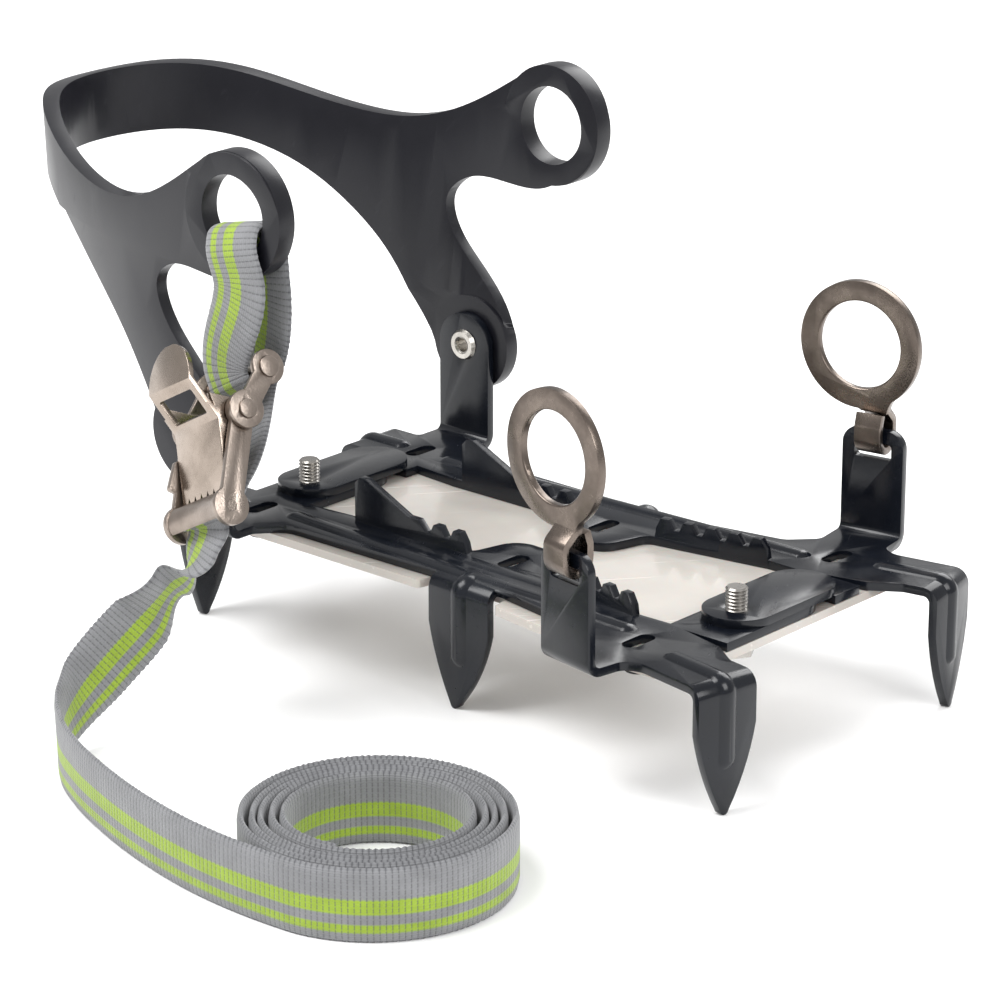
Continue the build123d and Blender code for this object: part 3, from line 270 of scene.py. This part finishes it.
# ---------------------------------------------------------------- finishes
@dataclass(frozen=True)
class RailPaint:
    """Glossy blue-black paint over pressed steel."""

    tint: Colour = (0.0035, 0.0045, 0.0075)
    dust: Colour = (0.030, 0.034, 0.042)

    def build(self) -> bpy.types.Material:
        """Makes the material: deep paint, faint orange peel, and light handling marks."""
        shader = Shader("rail_paint")
        clouds = shader.noise(55.0, 4.0)
        marks = shader.noise(900.0, 2.0, shader.stretched((1.0, 0.12, 1.0), (0, 0, 0.5))).ramp(0.62, 0.78)
        specks = shader.cells(700.0).ramp(0.05, 0.12, 1.0, 0.0) * shader.noise(120.0).ramp(0.55, 0.7)
        colour = shader.mix(clouds.ramp(0.35, 0.75), self.tint, (0.006, 0.008, 0.013))
        colour = shader.mix(specks * 0.6, colour, self.dust)
        peel = shader.bump(shader.noise(420.0, 1.0), 0.00005, 0.35)
        shader.set(Base_Color=colour, Roughness=clouds.ramp(0.3, 0.7, 0.16, 0.27) + marks * 0.10,
                   Normal=peel, IOR=1.42)
        return shader.material


@dataclass(frozen=True)
class HeelPlastic:
    """Satin charcoal moulded plastic with a purple cast."""

    tint: Colour = (0.0050, 0.0050, 0.0080)
    light: Colour = (0.0085, 0.0085, 0.0125)

    def build(self) -> bpy.types.Material:
        """Makes the material: moulded grain, flow clouds and a slightly uneven sheen."""
        shader = Shader("heel_plastic")
        clouds = shader.noise(28.0, 3.0)
        grain = shader.noise(2600.0, 2.0)
        scuffs = shader.noise(500.0, 2.0, shader.stretched((1.0, 1.0, 0.08), (0, 0.6, 0))).ramp(0.66, 0.8)
        colour = shader.mix(clouds.ramp(0.3, 0.7), self.tint, self.light)
        colour = shader.mix(scuffs * 0.15, colour, (0.05, 0.05, 0.06))
        shader.set(Base_Color=colour, Roughness=clouds.ramp(0.3, 0.7, 0.30, 0.40) + scuffs * 0.08,
                   Normal=shader.bump(grain, 0.00004, 0.35), IOR=1.40)
        return shader.material


@dataclass(frozen=True)
class Metal:
    """A bare or plated metal."""

    name: str
    tint: Colour
    deep: Colour
    rough: float
    grain: float = 2400.0
    grain_depth: float = 0.00004
    brushed: bool = False

    def build(self) -> bpy.types.Material:
        """Makes the material: tint clouds, grain or brush lines, and small tarnish spots."""
        shader = Shader(self.name)
        clouds = shader.noise(140.0, 4.0)
        spots = shader.cells(620.0).ramp(0.02, 0.16, 1.0, 0.0) * shader.noise(260.0).ramp(0.52, 0.66)
        if self.brushed:
            lines = shader.noise(2600.0, 2.0, shader.stretched((1.0, 1.0, 0.05), (0.5, -0.4, 0.2)))
            relief = shader.bump(lines, self.grain_depth, 0.35)
        else:
            lines = shader.noise(self.grain, 3.0)
            relief = shader.bump(lines, self.grain_depth, 0.6)
        colour = shader.mix(clouds.ramp(0.3, 0.7), self.tint, self.deep)
        colour = shader.mix(spots * 0.5, colour, tuple(value * 0.45 for value in self.deep))
        roughness = clouds.ramp(0.3, 0.7, self.rough - 0.05, self.rough + 0.06) + lines.ramp(0.4, 0.7) * 0.06
        shader.set(Base_Color=colour, Metallic=1.0, Roughness=roughness, Normal=relief)
        return shader.material


@dataclass(frozen=True)
class PlateSheet:
    """Warm, slightly milky plastic sheet."""

    tint: Colour = (0.545, 0.515, 0.475)
    shade: Colour = (0.46, 0.43, 0.395)

    def build(self) -> bpy.types.Material:
        """Makes the material: faint milkiness, moulding waves and fine scratches."""
        shader = Shader("plate_sheet")
        clouds = shader.noise(34.0, 3.0)
        scratches = shader.noise(700.0, 2.0, shader.stretched((0.06, 1.0, 1.0), (0, 0, 0.9))).ramp(0.64, 0.78)
        waves = shader.bump(shader.noise(60.0, 2.0), 0.0004, 0.25)
        colour = shader.mix(clouds.ramp(0.3, 0.75), self.tint, self.shade)
        colour = shader.mix(scratches * 0.3, colour, (0.72, 0.69, 0.64))
        shader.set(Base_Color=colour, Roughness=clouds.ramp(0.3, 0.7, 0.16, 0.26) + scratches * 0.15,
                   Normal=waves, Coat_Weight=0.4, Coat_Roughness=0.08, Subsurface_Weight=0.12,
                   Subsurface_Scale=0.004)
        return shader.material


@dataclass(frozen=True)
class Rubber:
    """Matt black rubber."""

    def build(self) -> bpy.types.Material:
        """Makes the material: fine pits and a chalky bloom."""
        shader = Shader("rubber")
        pits = shader.noise(1800.0, 2.0)
        bloom = shader.noise(90.0, 3.0).ramp(0.4, 0.8)
        shader.set(Base_Color=shader.mix(bloom, (0.014, 0.014, 0.015), (0.035, 0.034, 0.033)),
                   Roughness=bloom * 0.12 + 0.62, Normal=shader.bump(pits, 0.00008, 0.5))
        return shader.material


@dataclass(frozen=True)
class Weave:
    """Grey webbing with a broad and a thin green stripe. The UV map runs across, and along in widths."""

    grey: Colour = (0.235, 0.238, 0.248)
    shadow: Colour = (0.085, 0.087, 0.095)
    green: Colour = (0.300, 0.430, 0.030)
    broad: tuple[float, float] = (0.42, 0.62)
    thin: tuple[float, float] = (0.755, 0.867)
    ends: int = 26
    picks: float = 13.0

    def build(self) -> bpy.types.Material:
        """Makes the material: ribs of crossing yarns, stripes, fibre noise and a faint fuzz."""
        shader = Shader("striped_webbing")
        spot = shader.node("ShaderNodeUVMap", {"uv_map": "strap"})
        across = shader.node("ShaderNodeSeparateXYZ", {}, {0: spot}, 0)
        along = shader.node("ShaderNodeSeparateXYZ", {}, {0: spot}, 1)
        wander = shader.noise(1.3, 2.0, spot) - 0.5
        end = across * float(self.ends)
        pick = along * self.picks + wander * 0.10
        pick_crown = pick.fraction().crown()
        step = pick + end.whole() * 0.5
        end_crown = end.fraction().crown().using("POWER", 0.5) * step.fraction().crown().using("POWER", 0.35)
        yarn = pick_crown.using("POWER", 0.6) * 0.62 + end_crown * 0.38
        fine = shader.noise(95.0, 3.0, spot)
        stripe = across + (yarn - 0.5) * 0.018
        greenness = stripe.between(*self.broad) + stripe.between(*self.thin)
        blotch = shader.noise(2.2, 3.0, spot).ramp(0.3, 0.7, 0.86, 1.08)
        thread = shader.mix(greenness, self.grey, self.green)
        thread = shader.mix(fine.ramp(0.35, 0.7) * 0.35, thread, (0.42, 0.42, 0.42), "SOFT_LIGHT")
        colour = shader.mix(yarn.ramp(0.05, 0.70), self.shadow, thread)
        shade = shader.node("ShaderNodeCombineColor", {}, {0: blotch, 1: blotch, 2: blotch})
        colour = shader.mix(1.0, colour, shade, "MULTIPLY")
        relief = shader.bump(yarn, 0.00030, 0.8)
        relief = shader.bump(fine, 0.00006, 0.5, relief)
        shader.set(Base_Color=colour, Roughness=yarn.ramp(0.0, 1.0, 0.92, 0.72), Normal=relief,
                   Sheen_Weight=0.25, Sheen_Roughness=0.5)
        return shader.material


class Finish(Enum):
    """The finishes that the crampon's pieces wear."""

    RAIL = RailPaint()
    HEEL = HeelPlastic()
    BUCKLE = Metal("buckle_nickel", (0.40, 0.335, 0.285), (0.29, 0.24, 0.20), 0.23, brushed=True)
    CHEEK = Metal("cheek_nickel", (0.36, 0.305, 0.265), (0.24, 0.20, 0.172), 0.30, 1900.0, 0.00012)
    RING = Metal("ring_steel", (0.205, 0.170, 0.145), (0.125, 0.102, 0.088), 0.27, 2200.0, 0.00004)
    BOLT = Metal("bolt_steel", (0.42, 0.40, 0.37), (0.28, 0.265, 0.25), 0.25)
    RIVET = Metal("rivet_steel", (0.55, 0.53, 0.49), (0.38, 0.36, 0.33), 0.25)
    COIL = Metal("coil_steel", (0.16, 0.155, 0.15), (0.10, 0.098, 0.095), 0.3)
    PLATE = PlateSheet()
    RUBBER = Rubber()
    WEAVE = Weave()


class Wardrobe:
    """Makes each finish once and puts it on pieces."""

    def __init__(self) -> None:
        """Starts with no finish made."""
        self.made: dict[Finish, bpy.types.Material] = {}

    def dress(self, piece: bpy.types.Object, finish: Finish) -> None:
        """Puts a finish on all of a piece.

        Args:
            piece: the object to dress.
            finish: what it wears.
        """
        if finish not in self.made:
            self.made[finish] = finish.value.build()
        if not piece.material_slots:
            piece.data.materials.append(self.made[finish])
        for slot in piece.material_slots:
            slot.material = self.made[finish]


# ---------------------------------------------------------------- workbench
class Bench:
    """Modelling steps that several pieces share."""

    @staticmethod
    def pick_only(piece: bpy.types.Object) -> None:
        """Leaves one object selected and active."""
        if bpy.context.mode != "OBJECT":
            bpy.ops.object.mode_set(mode="OBJECT")
        bpy.ops.object.select_all(action="DESELECT")
        piece.select_set(True)
        bpy.context.view_layer.objects.active = piece

    @staticmethod
    def apply_all(piece: bpy.types.Object) -> None:
        """Applies every modifier, in order."""
        Bench.pick_only(piece)
        for modifier in list(piece.modifiers):
            bpy.ops.object.modifier_apply(modifier=modifier.name)

    @staticmethod
    def rounded(node: bpy.types.Object, name: str, width: float, segments: int = 2,
                sharp: float = 32.0) -> bpy.types.Object:
        """Copies a solid and rounds its sharp edges.

        Args:
            node: the solid to copy.
            name: the new piece's name.
            width: how wide each rounding is, in metres.
            segments: how many strips it takes.
            sharp: the least angle in degrees that is rounded.

        Returns:
            The rounded piece.
        """
        piece = bpy.data.objects.new(name, node.data.copy())
        bpy.context.scene.collection.objects.link(piece)
        Bench.pick_only(piece)
        bpy.ops.object.mode_set(mode="EDIT")
        bpy.ops.mesh.select_all(action="SELECT")
        bpy.ops.mesh.remove_doubles(threshold=0.000004)
        bpy.ops.mesh.dissolve_limited(angle_limit=radians(1.0))
        bpy.ops.object.mode_set(mode="OBJECT")
        bevel = piece.modifiers.new("edge", "BEVEL")
        bevel.width = width
        bevel.segments = segments
        bevel.limit_method = "ANGLE"
        bevel.angle_limit = radians(sharp)
        bevel.harden_normals = False
        bevel.miter_outer = "MITER_ARC" if segments > 2 else "MITER_SHARP"
        Bench.apply_all(piece)
        bpy.ops.object.shade_smooth_by_angle(angle=radians(38.0))
        return piece


# ---------------------------------------------------------------- metal and plastic
@dataclass
class Frame:
    """The two rails, their bolts, plugs and the plate under them."""

    edge: float = 0.30 * MM
    rails: tuple[str, ...] = ("left_rail", "right_rail")

    def build(self, nodes: dict[str, bpy.types.Object], wardrobe: Wardrobe) -> list[bpy.types.Object]:
        """Rounds the rails' edges and dresses the rest.

        Args:
            nodes: the frame's solids by name.
            wardrobe: the finishes.

        Returns:
            The new pieces.
        """
        made = []
        for name in self.rails:
            piece = Bench.rounded(nodes[name], name + "_rounded", self.edge)
            wardrobe.dress(piece, Finish.RAIL)
            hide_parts(name)
            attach(piece, "frame")
            made.append(piece)
        for name, finish in (("anti_balling_plate", Finish.PLATE), ("plate_plugs", Finish.RUBBER),
                             ("clamp_bolts", Finish.BOLT), ("bolt_washers", Finish.BOLT),
                             ("pivot_rivets", Finish.RIVET), ("pivot_washers", Finish.RUBBER)):
            wardrobe.dress(nodes[name], finish)
        return made


@dataclass
class HeelPiece:
    """The moulded heel piece."""

    edge: float = 0.75 * MM

    def build(self, nodes: dict[str, bpy.types.Object], wardrobe: Wardrobe) -> list[bpy.types.Object]:
        """Rounds the moulding's edges.

        Args:
            nodes: the frame's solids by name.
            wardrobe: the finishes.

        Returns:
            The new piece, in a list.
        """
        piece = Bench.rounded(nodes["heel_piece"], "heel_moulding", self.edge, 3, 40.0)
        wardrobe.dress(piece, Finish.HEEL)
        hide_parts("heel_piece")
        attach(piece, "heel")
        return [piece]


@dataclass
class RingLinks:
    """The two ring links that hook through the front uprights."""

    edge: float = 0.28 * MM

    def build(self, nodes: dict[str, bpy.types.Object], wardrobe: Wardrobe) -> list[bpy.types.Object]:
        """Rounds both links' edges.

        Args:
            nodes: the frame's solids by name.
            wardrobe: the finishes.

        Returns:
            The new pieces.
        """
        made = []
        for side in ("left", "right"):
            piece = Bench.rounded(nodes[side + "_ring"], side + "_ring_link", self.edge)
            wardrobe.dress(piece, Finish.RING)
            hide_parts(side + "_ring")
            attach(piece, side + "_link")
            made.append(piece)
        return made


@dataclass
class Buckle:
    """The toothed clamp buckle, with its own axes at the roller: across, up and outward."""

    origin: Vector = field(default_factory=lambda: Vector((-37.5, -75.0, 48.2)) * MM)
    across: Vector = field(default_factory=lambda: Vector((0.8768, -0.1300, 0.4629)))
    outward: Vector = field(default_factory=lambda: Vector((-0.3786, -0.7800, 0.4982)))
    axle: tuple[float, float] = (21.9, 2.4)
    wire: float = 0.8
    turns: int = 8
    coil_radius: float = 2.25
    edge: float = 0.16 * MM

    @property
    def upward(self) -> Vector:
        """The buckle's own up."""
        return self.outward.cross(self.across).normalized()

    def spot(self, up: float, out: float, across: float = 0.0) -> Vector:
        """A place on the buckle, from millimetres up, outward and across."""
        return self.origin + (self.upward * up + self.outward * out + self.across * across) * MM

    def build(self, nodes: dict[str, bpy.types.Object], wardrobe: Wardrobe) -> list[bpy.types.Object]:
        """Rounds the buckle's plates and winds its spring.

        Args:
            nodes: the frame's solids by name.
            wardrobe: the finishes.

        Returns:
            The new pieces.
        """
        made = []
        plated = (
            ("buckle_frame", "heel", Finish.CHEEK),
            ("buckle_links", "heel", Finish.CHEEK),
            ("buckle_lever", "lever", Finish.BUCKLE),
            ("lever_axle", "heel", Finish.CHEEK),
            ("strap_pin", "heel", Finish.CHEEK),
        )
        for name, body, finish in plated:
            piece = Bench.rounded(nodes[name], name + "_plated", self.edge)
            wardrobe.dress(piece, finish)
            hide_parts(name)
            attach(piece, body)
            made.append(piece)
        wardrobe.dress(nodes["roller_pin"], Finish.CHEEK)
        made.append(self.spring(wardrobe))
        return made

    def spring(self, wardrobe: Wardrobe) -> bpy.types.Object:
        """Winds the coil round the lever's axle.

        Args:
            wardrobe: the finishes.

        Returns:
            The coil.
        """
        bpy.ops.object.select_all(action="DESELECT")
        low = -self.turns * self.wire * MM / 2
        bpy.ops.mesh.primitive_circle_add(vertices=10, radius=self.wire * MM / 2, rotation=(pi / 2, 0, 0),
                                          location=(self.coil_radius * MM, 0, low))
        coil = bpy.context.active_object
        coil.name = "lever_coil"
        bpy.ops.object.transform_apply(location=True, rotation=True, scale=True)
        screw = coil.modifiers.new("turns", "SCREW")
        screw.angle = 2 * pi
        screw.screw_offset = self.wire * MM * 1.02
        screw.iterations = self.turns
        screw.steps = 28
        screw.render_steps = 28
        screw.use_normal_calculate = True
        Bench.apply_all(coil)
        bpy.ops.object.mode_set(mode="EDIT")
        bpy.ops.mesh.select_all(action="SELECT")
        bpy.ops.mesh.remove_doubles(threshold=0.00001)
        bpy.ops.mesh.select_all(action="DESELECT")
        bpy.ops.mesh.select_non_manifold()
        bpy.ops.mesh.edge_face_add()
        bpy.ops.mesh.select_all(action="SELECT")
        bpy.ops.mesh.normals_make_consistent(inside=False)
        bpy.ops.object.mode_set(mode="OBJECT")
        turned = Matrix((self.outward, self.upward, self.across)).transposed().to_4x4()
        coil.matrix_world = Matrix.Translation(self.spot(*self.axle)) @ turned
        bpy.ops.object.transform_apply(location=True, rotation=True, scale=True)
        bpy.ops.object.shade_smooth()
        wardrobe.dress(coil, Finish.COIL)
        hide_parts("lever_spring")
        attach(coil, "heel")
        return coil


# ---------------------------------------------------------------- webbing
@dataclass
class Station:
    """A place on the strap's middle line, with its width's direction and its face's direction."""

    place: Vector
    across: Vector
    outward: Vector


@dataclass
class Strap:
    """One long strap: a loop over the heel piece's lug, a tail, and a wound roll."""

    width: float = 16.0 * MM
    thickness: float = 1.5 * MM
    step: float = 0.55 * MM
    face_points: int = 8
    roll_middle: tuple[float, float] = (48.8 * MM, -113.3 * MM)
    roll_outer: float = 29.1 * MM
    roll_turns: float = 5.05
    roll_pitch: float = 2.1 * MM
    steps_per_turn: int = 40
    wobble: float = 0.22 * MM
    lift: float = 0.25 * MM
    loop_height: float = 0.16 * MM
    loop_pitch: float = 1.45 * MM
    lug: tuple[float, float, float] = (-47.0, -53.2, 110.2)
    lug_hole_radius: float = 9.4
    fold_tilt: float = 12.0
    buckle: Buckle = field(default_factory=Buckle)

    def round_pin(self, centre: tuple[float, float], radius: float, angle: float) -> Station:
        """A station round one of the buckle's pins.

        Args:
            centre: the pin, in millimetres up and outward.
            radius: the middle of the webbing from the pin's middle, in millimetres.
            angle: where on the pin, in degrees; 0 is up the buckle and 90 outward.

        Returns:
            The station.
        """
        turn = radians(angle)
        facing = self.buckle.upward * cos(turn) + self.buckle.outward * sin(turn)
        place = self.buckle.spot(centre[0] + radius * cos(turn), centre[1] + radius * sin(turn))
        return Station(place, self.buckle.across, facing)

    def loop_stations(self) -> list[Station]:
        """The loop: round the strap pin, up, over the lug, down behind the buckle and round the roller."""
        tilt = radians(self.fold_tilt)
        rise = Vector((-sin(tilt), 0, cos(tilt)))
        sideways = Vector((cos(tilt), 0, sin(tilt)))
        seat = Vector(self.lug) * MM - rise * self.lug_hole_radius * MM
        stations = [self.round_pin((33.3, -0.4), 2.8, angle) for angle in (230, 190, 150, 110)]
        for aside, above, angle in ((3.71, -5.29, 0), (3.99, 3.67, 16), (2.59, 6.23, 55), (0, 6.96, 90),
                                    (-2.59, 6.23, 125), (-3.99, 3.67, 164), (-3.99, -6.79, 178)):
            place = seat + (Vector((0, -aside, 0)) + rise * above) * MM
            facing = Vector((0, -cos(radians(angle)), 0)) + rise * sin(radians(angle))
            stations.append(Station(place, sideways, facing))
        behind = self.buckle.outward * -1
        stations.append(Station(self.buckle.spot(35.3, -5.2), self.buckle.across, behind))
        stations.append(Station(self.buckle.spot(9.0, -4.6), self.buckle.across, behind))
        return stations + [self.round_pin((0, 0), 2.1, angle) for angle in (-40, 0, 40, 80, 115, 150)]

    def tail_stations(self) -> list[Station]:
        """The tail: out of the buckle, down to the floor on edge, and along to the roll."""
        stations = [self.round_pin((0, 0), 2.1, 185)]
        for place, sideways, facing in (
                ((-36.8, -77.4, 41.0), (0.82, -0.10, 0.52), (-0.42, -0.72, 0.45)),
                ((-38.0, -79.6, 37.0), (0.72, 0.05, 0.66), (-0.60, -0.56, 0.50)),
                ((-41.0, -83.0, 33.6), (0.50, 0.20, 0.84), (-0.80, -0.30, 0.50)),
                ((-44.0, -89.0, 26.0), (0.05, 0.15, 0.98), (-0.97, -0.10, 0.10)),
                ((-47.0, -97.0, 18.2), (-0.20, -0.05, 0.97), (-0.95, -0.25, -0.10)),
                ((-47.6, -105.0, 12.4), (-0.16, -0.05, 0.98), (-0.93, -0.36, -0.08)),
                ((-44.0, -113.5, 9.2), (-0.06, -0.03, 1.0), (-0.85, -0.52, 0.0)),
                ((-36.0, -121.0, 8.0), (0, 0, 1), (-0.68, -0.73, 0.0)),
                ((-25.0, -127.4, 8.0), (0, 0, 1), (-0.50, -0.86, 0.0)),
                ((-10.0, -133.5, 8.0), (0, 0, 1), (-0.38, -0.92, 0.0)),
                ((8.0, -138.8, 8.0), (0, 0, 1), (-0.24, -0.97, 0.0)),
                ((26.0, -142.0, 8.0), (0, 0, 1), (-0.12, -0.99, 0.0))):
            stations.append(Station(Vector(place) * MM, Vector(sideways), Vector(facing)))
        return stations

    def roll_stations(self) -> list[Station]:
        """The roll: a flat spiral, inward, counterclockwise from above."""
        stations = []
        steps = int(self.roll_turns * self.steps_per_turn)
        for number in range(steps + 1):
            turn = number / self.steps_per_turn
            angle = -pi / 2 + turn * 2 * pi
            radius = self.roll_outer - self.roll_pitch * turn
            radius += self.wobble * sin(turn * 2.3 + 0.7) * min(turn, 1.0)
            facing = Vector((cos(angle), sin(angle), 0))
            place = Vector((*self.roll_middle, self.width / 2)) + facing * radius
            if turn > 0.8:
                place.z += self.lift * sin(turn * 1.9) * min(turn, 1.0)
            stations.append(Station(place, Vector((0, 0, 1)), facing))
        return stations

    def build(self, wardrobe: Wardrobe) -> list[bpy.types.Object]:
        """Weaves the three stretches as one continuous strap.

        Args:
            wardrobe: the finishes.

        Returns:
            The loop, the tail and the roll.
        """
        loop, tail, roll = self.loop_stations(), self.tail_stations(), self.roll_stations()
        everything = loop + tail + roll
        rows = self.sampled(everything)
        cuts = [0.0, len(loop) - 1.0, float(len(loop) + len(tail)), len(everything) - 1.0]
        made = []
        for number, name in enumerate(("webbing_loop", "webbing_tail", "webbing_roll")):
            low, high = cuts[number], cuts[number + 1]
            part = [row for row in rows if low - 1e-9 <= row[0] <= high + 1e-9]
            piece = self.ribbon(name, part)
            wardrobe.dress(piece, Finish.WEAVE)
            made.append(piece)
        loop_piece, tail_piece, roll_piece = made
        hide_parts("strap_loop")
        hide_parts("strap_tail")
        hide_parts("strap_roll")
        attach(loop_piece, "heel")
        tuple(tail[1].place)
        tuple(tail[6].place)
        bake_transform(tail_piece)
        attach(roll_piece, "frame")
        return made

    def sampled(self, stations: list[Station]) -> list[tuple[float, float, Vector, Vector, Vector]]:
        """Runs a smooth line through the stations.

        Args:
            stations: the places to pass.

        Returns:
            Rows of station number, length so far, place, across and outward.
        """
        rows = []
        travelled = 0.0
        last = None
        for number in range(len(stations) - 1):
            before = stations[max(number - 1, 0)]
            here, there = stations[number], stations[number + 1]
            after = stations[min(number + 2, len(stations) - 1)]
            span = (there.place - here.place).length
            back_span = max((here.place - before.place).length, 1e-6)
            on_span = max((after.place - there.place).length, 1e-6)
            leave = self.slope(before.place, here.place, there.place, back_span, span) if number else \
                (there.place - here.place) / span
            arrive = self.slope(here.place, there.place, after.place, span, on_span)
            count = max(2, int(span / self.step))
            for part in range(count):
                share = part / count
                place = self.eased(here.place, there.place, leave * span, arrive * span, share)
                across = here.across.lerp(there.across, share).normalized()
                outward = here.outward.lerp(there.outward, share)
                travelled += (place - last).length if last else 0.0
                last = place
                rows.append((number + share, travelled, place, across, outward))
        travelled += (stations[-1].place - last).length
        final = stations[-1]
        rows.append((len(stations) - 1.0, travelled, final.place, final.across, final.outward))
        return rows

    @staticmethod
    def slope(before: Vector, here: Vector, after: Vector, back: float, on: float) -> Vector:
        """The line's direction at a station, weighted to its nearer neighbour."""
        return ((here - before) / back * on + (after - here) / on * back) / (back + on)

    @staticmethod
    def eased(start: Vector, end: Vector, leave: Vector, arrive: Vector, share: float) -> Vector:
        """A cubic between two places with given end slopes."""
        square, cube = share * share, share * share * share
        return (start * (2 * cube - 3 * square + 1) + leave * (cube - 2 * square + share)
                + end * (3 * square - 2 * cube) + arrive * (cube - square))

    def ribbon(self, name: str, rows: list[tuple[float, float, Vector, Vector, Vector]]) -> bpy.types.Object:
        """Weaves a flat strap with rounded, looped edges along some rows.

        Args:
            name: the piece's name.
            rows: what sampled() gives.

        Returns:
            The strap.
        """
        half, deep = self.width / 2, self.thickness / 2
        outline = []
        for number in range(self.face_points + 1):
            outline.append((-1 + 2 * number / self.face_points, 1.0))
        outline.append((1.0, 0.0))
        for number in range(self.face_points + 1):
            outline.append((1 - 2 * number / self.face_points, -1.0))
        outline.append((-1.0, 0.0))
        verts, faces, spots = [], [], []
        count = len(outline)
        for index, (_, travelled, place, across, outward) in enumerate(rows):
            ahead = rows[min(index + 1, len(rows) - 1)][2] - rows[max(index - 1, 0)][2]
            along = ahead.normalized()
            side = (across - along * across.dot(along)).normalized()
            face = along.cross(side)
            if face.dot(outward) < 0:
                face = face * -1
            loops = self.loop_height * sin(travelled / self.loop_pitch * 2 * pi)
            for x, y in outline:
                edge = abs(x) > 0.99
                reach = half - (0.45 * MM if edge and y else 0.0) + (loops if edge and not y else 0.0)
                height = deep * y * (0.62 if edge else 1.0)
                verts.append(place + side * (x * reach) + face * height)
            spots.append(travelled / self.width)
        uv_rows = []
        for index in range(len(rows) - 1):
            for number in range(count):
                after = (number + 1) % count
                faces.append((index * count + number, index * count + after,
                              (index + 1) * count + after, (index + 1) * count + number))
                u, v = [(1 - outline[k][0]) / 2 for k in (number, after)]
                here, there = spots[index], spots[index + 1]
                uv_rows += [(u, here), (v, here), (v, there), (u, there)]
        last = (len(rows) - 1) * count
        faces.append(tuple(range(count - 1, -1, -1)))
        uv_rows += [((1 - outline[k][0]) / 2, spots[0]) for k in range(count - 1, -1, -1)]
        faces.append(tuple(last + k for k in range(count)))
        uv_rows += [((1 - outline[k][0]) / 2, spots[-1]) for k in range(count)]
        mesh = bpy.data.meshes.new(name)
        mesh.from_pydata([tuple(v) for v in verts], [], faces)
        layer = mesh.uv_layers.new(name="strap")
        layer.data.foreach_set("uv", [value for pair in uv_rows for value in pair])
        piece = bpy.data.objects.new(name, mesh)
        bpy.context.scene.collection.objects.link(piece)
        Bench.pick_only(piece)
        bpy.ops.object.mode_set(mode="EDIT")
        bpy.ops.mesh.select_all(action="SELECT")
        bpy.ops.mesh.normals_make_consistent(inside=False)
        bpy.ops.object.mode_set(mode="OBJECT")
        bpy.ops.object.shade_smooth_by_angle(angle=radians(50.0))
        piece["length"] = rows[-1][1] - rows[0][1]
        return piece


# ---------------------------------------------------------------- studio
@dataclass
class Studio:
    """The floor, the lights and the camera."""

    eye: tuple[float, float, float] = (0.58625, -0.68226, 0.35808)
    turn: tuple[float, float, float] = (70.57, 0.0, 41.53)
    lens: float = 151.8

    def build(self) -> None:
        """Sets the floor, soft lights and the camera."""
        bpy.ops.object.select_all(action="DESELECT")
        bpy.ops.mesh.primitive_plane_add(size=6.0, location=(0, 0, 0))
        floor_plane = bpy.context.active_object
        floor_plane.name = "studio_floor"
        shader = Shader("studio_white")
        shader.set(Base_Color=(0.93, 0.93, 0.93), Roughness=0.65)
        floor_plane.data.materials.append(shader.material)
        world = bpy.data.worlds.new("studio")
        world.use_nodes = True
        world.node_tree.nodes["Background"].inputs["Color"].default_value = (1.0, 1.0, 1.0, 1.0)
        world.node_tree.nodes["Background"].inputs["Strength"].default_value = 0.62
        bpy.context.scene.world = world
        self.lamp("key", (-0.45, -0.65, 1.30), 0.9, 22.0)
        self.lamp("side", (1.15, -0.1, 0.9), 0.7, 9.0)
        self.lamp("back", (-0.2, 1.1, 0.9), 0.9, 12.0)
        camera = bpy.data.cameras.new("camera")
        camera.lens = self.lens
        camera.sensor_width = 36.0
        camera.clip_start = 0.05
        eye = bpy.data.objects.new("camera", camera)
        eye.location = self.eye
        eye.rotation_euler = tuple(radians(value) for value in self.turn)
        bpy.context.scene.collection.objects.link(eye)
        bpy.context.scene.camera = eye
        bpy.context.scene.view_settings.view_transform = "Standard"

    def lamp(self, name: str, place: tuple[float, float, float], size: float, power: float) -> None:
        """Hangs a soft square light that faces the crampon.

        Args:
            name: the light's name.
            place: where it hangs.
            size: its side.
            power: its power in watts.
        """
        light = bpy.data.lights.new(name, "AREA")
        light.shape = "SQUARE"
        light.size = size
        light.energy = power
        holder = bpy.data.objects.new(name, light)
        holder.location = place
        holder.rotation_euler = (Vector((0, 0, 0.04)) - Vector(place)).to_track_quat("-Z", "Y").to_euler()
        bpy.context.scene.collection.objects.link(holder)


def main() -> None:
    """Builds the crampon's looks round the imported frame."""
    logging.basicConfig(level=logging.INFO, format="%(name)s: %(message)s")
    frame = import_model()
    nodes = frame["nodes"]
    wardrobe = Wardrobe()
    Studio().build()
    made = Strap().build(wardrobe)
    for assembly in (Frame(), HeelPiece(), RingLinks(), Buckle()):
        made += assembly.build(nodes, wardrobe)
    for piece in made:
        LOG.info("%s: %d faces", piece.name, len(piece.data.polygons))


if __name__ == "__main__":
    main()
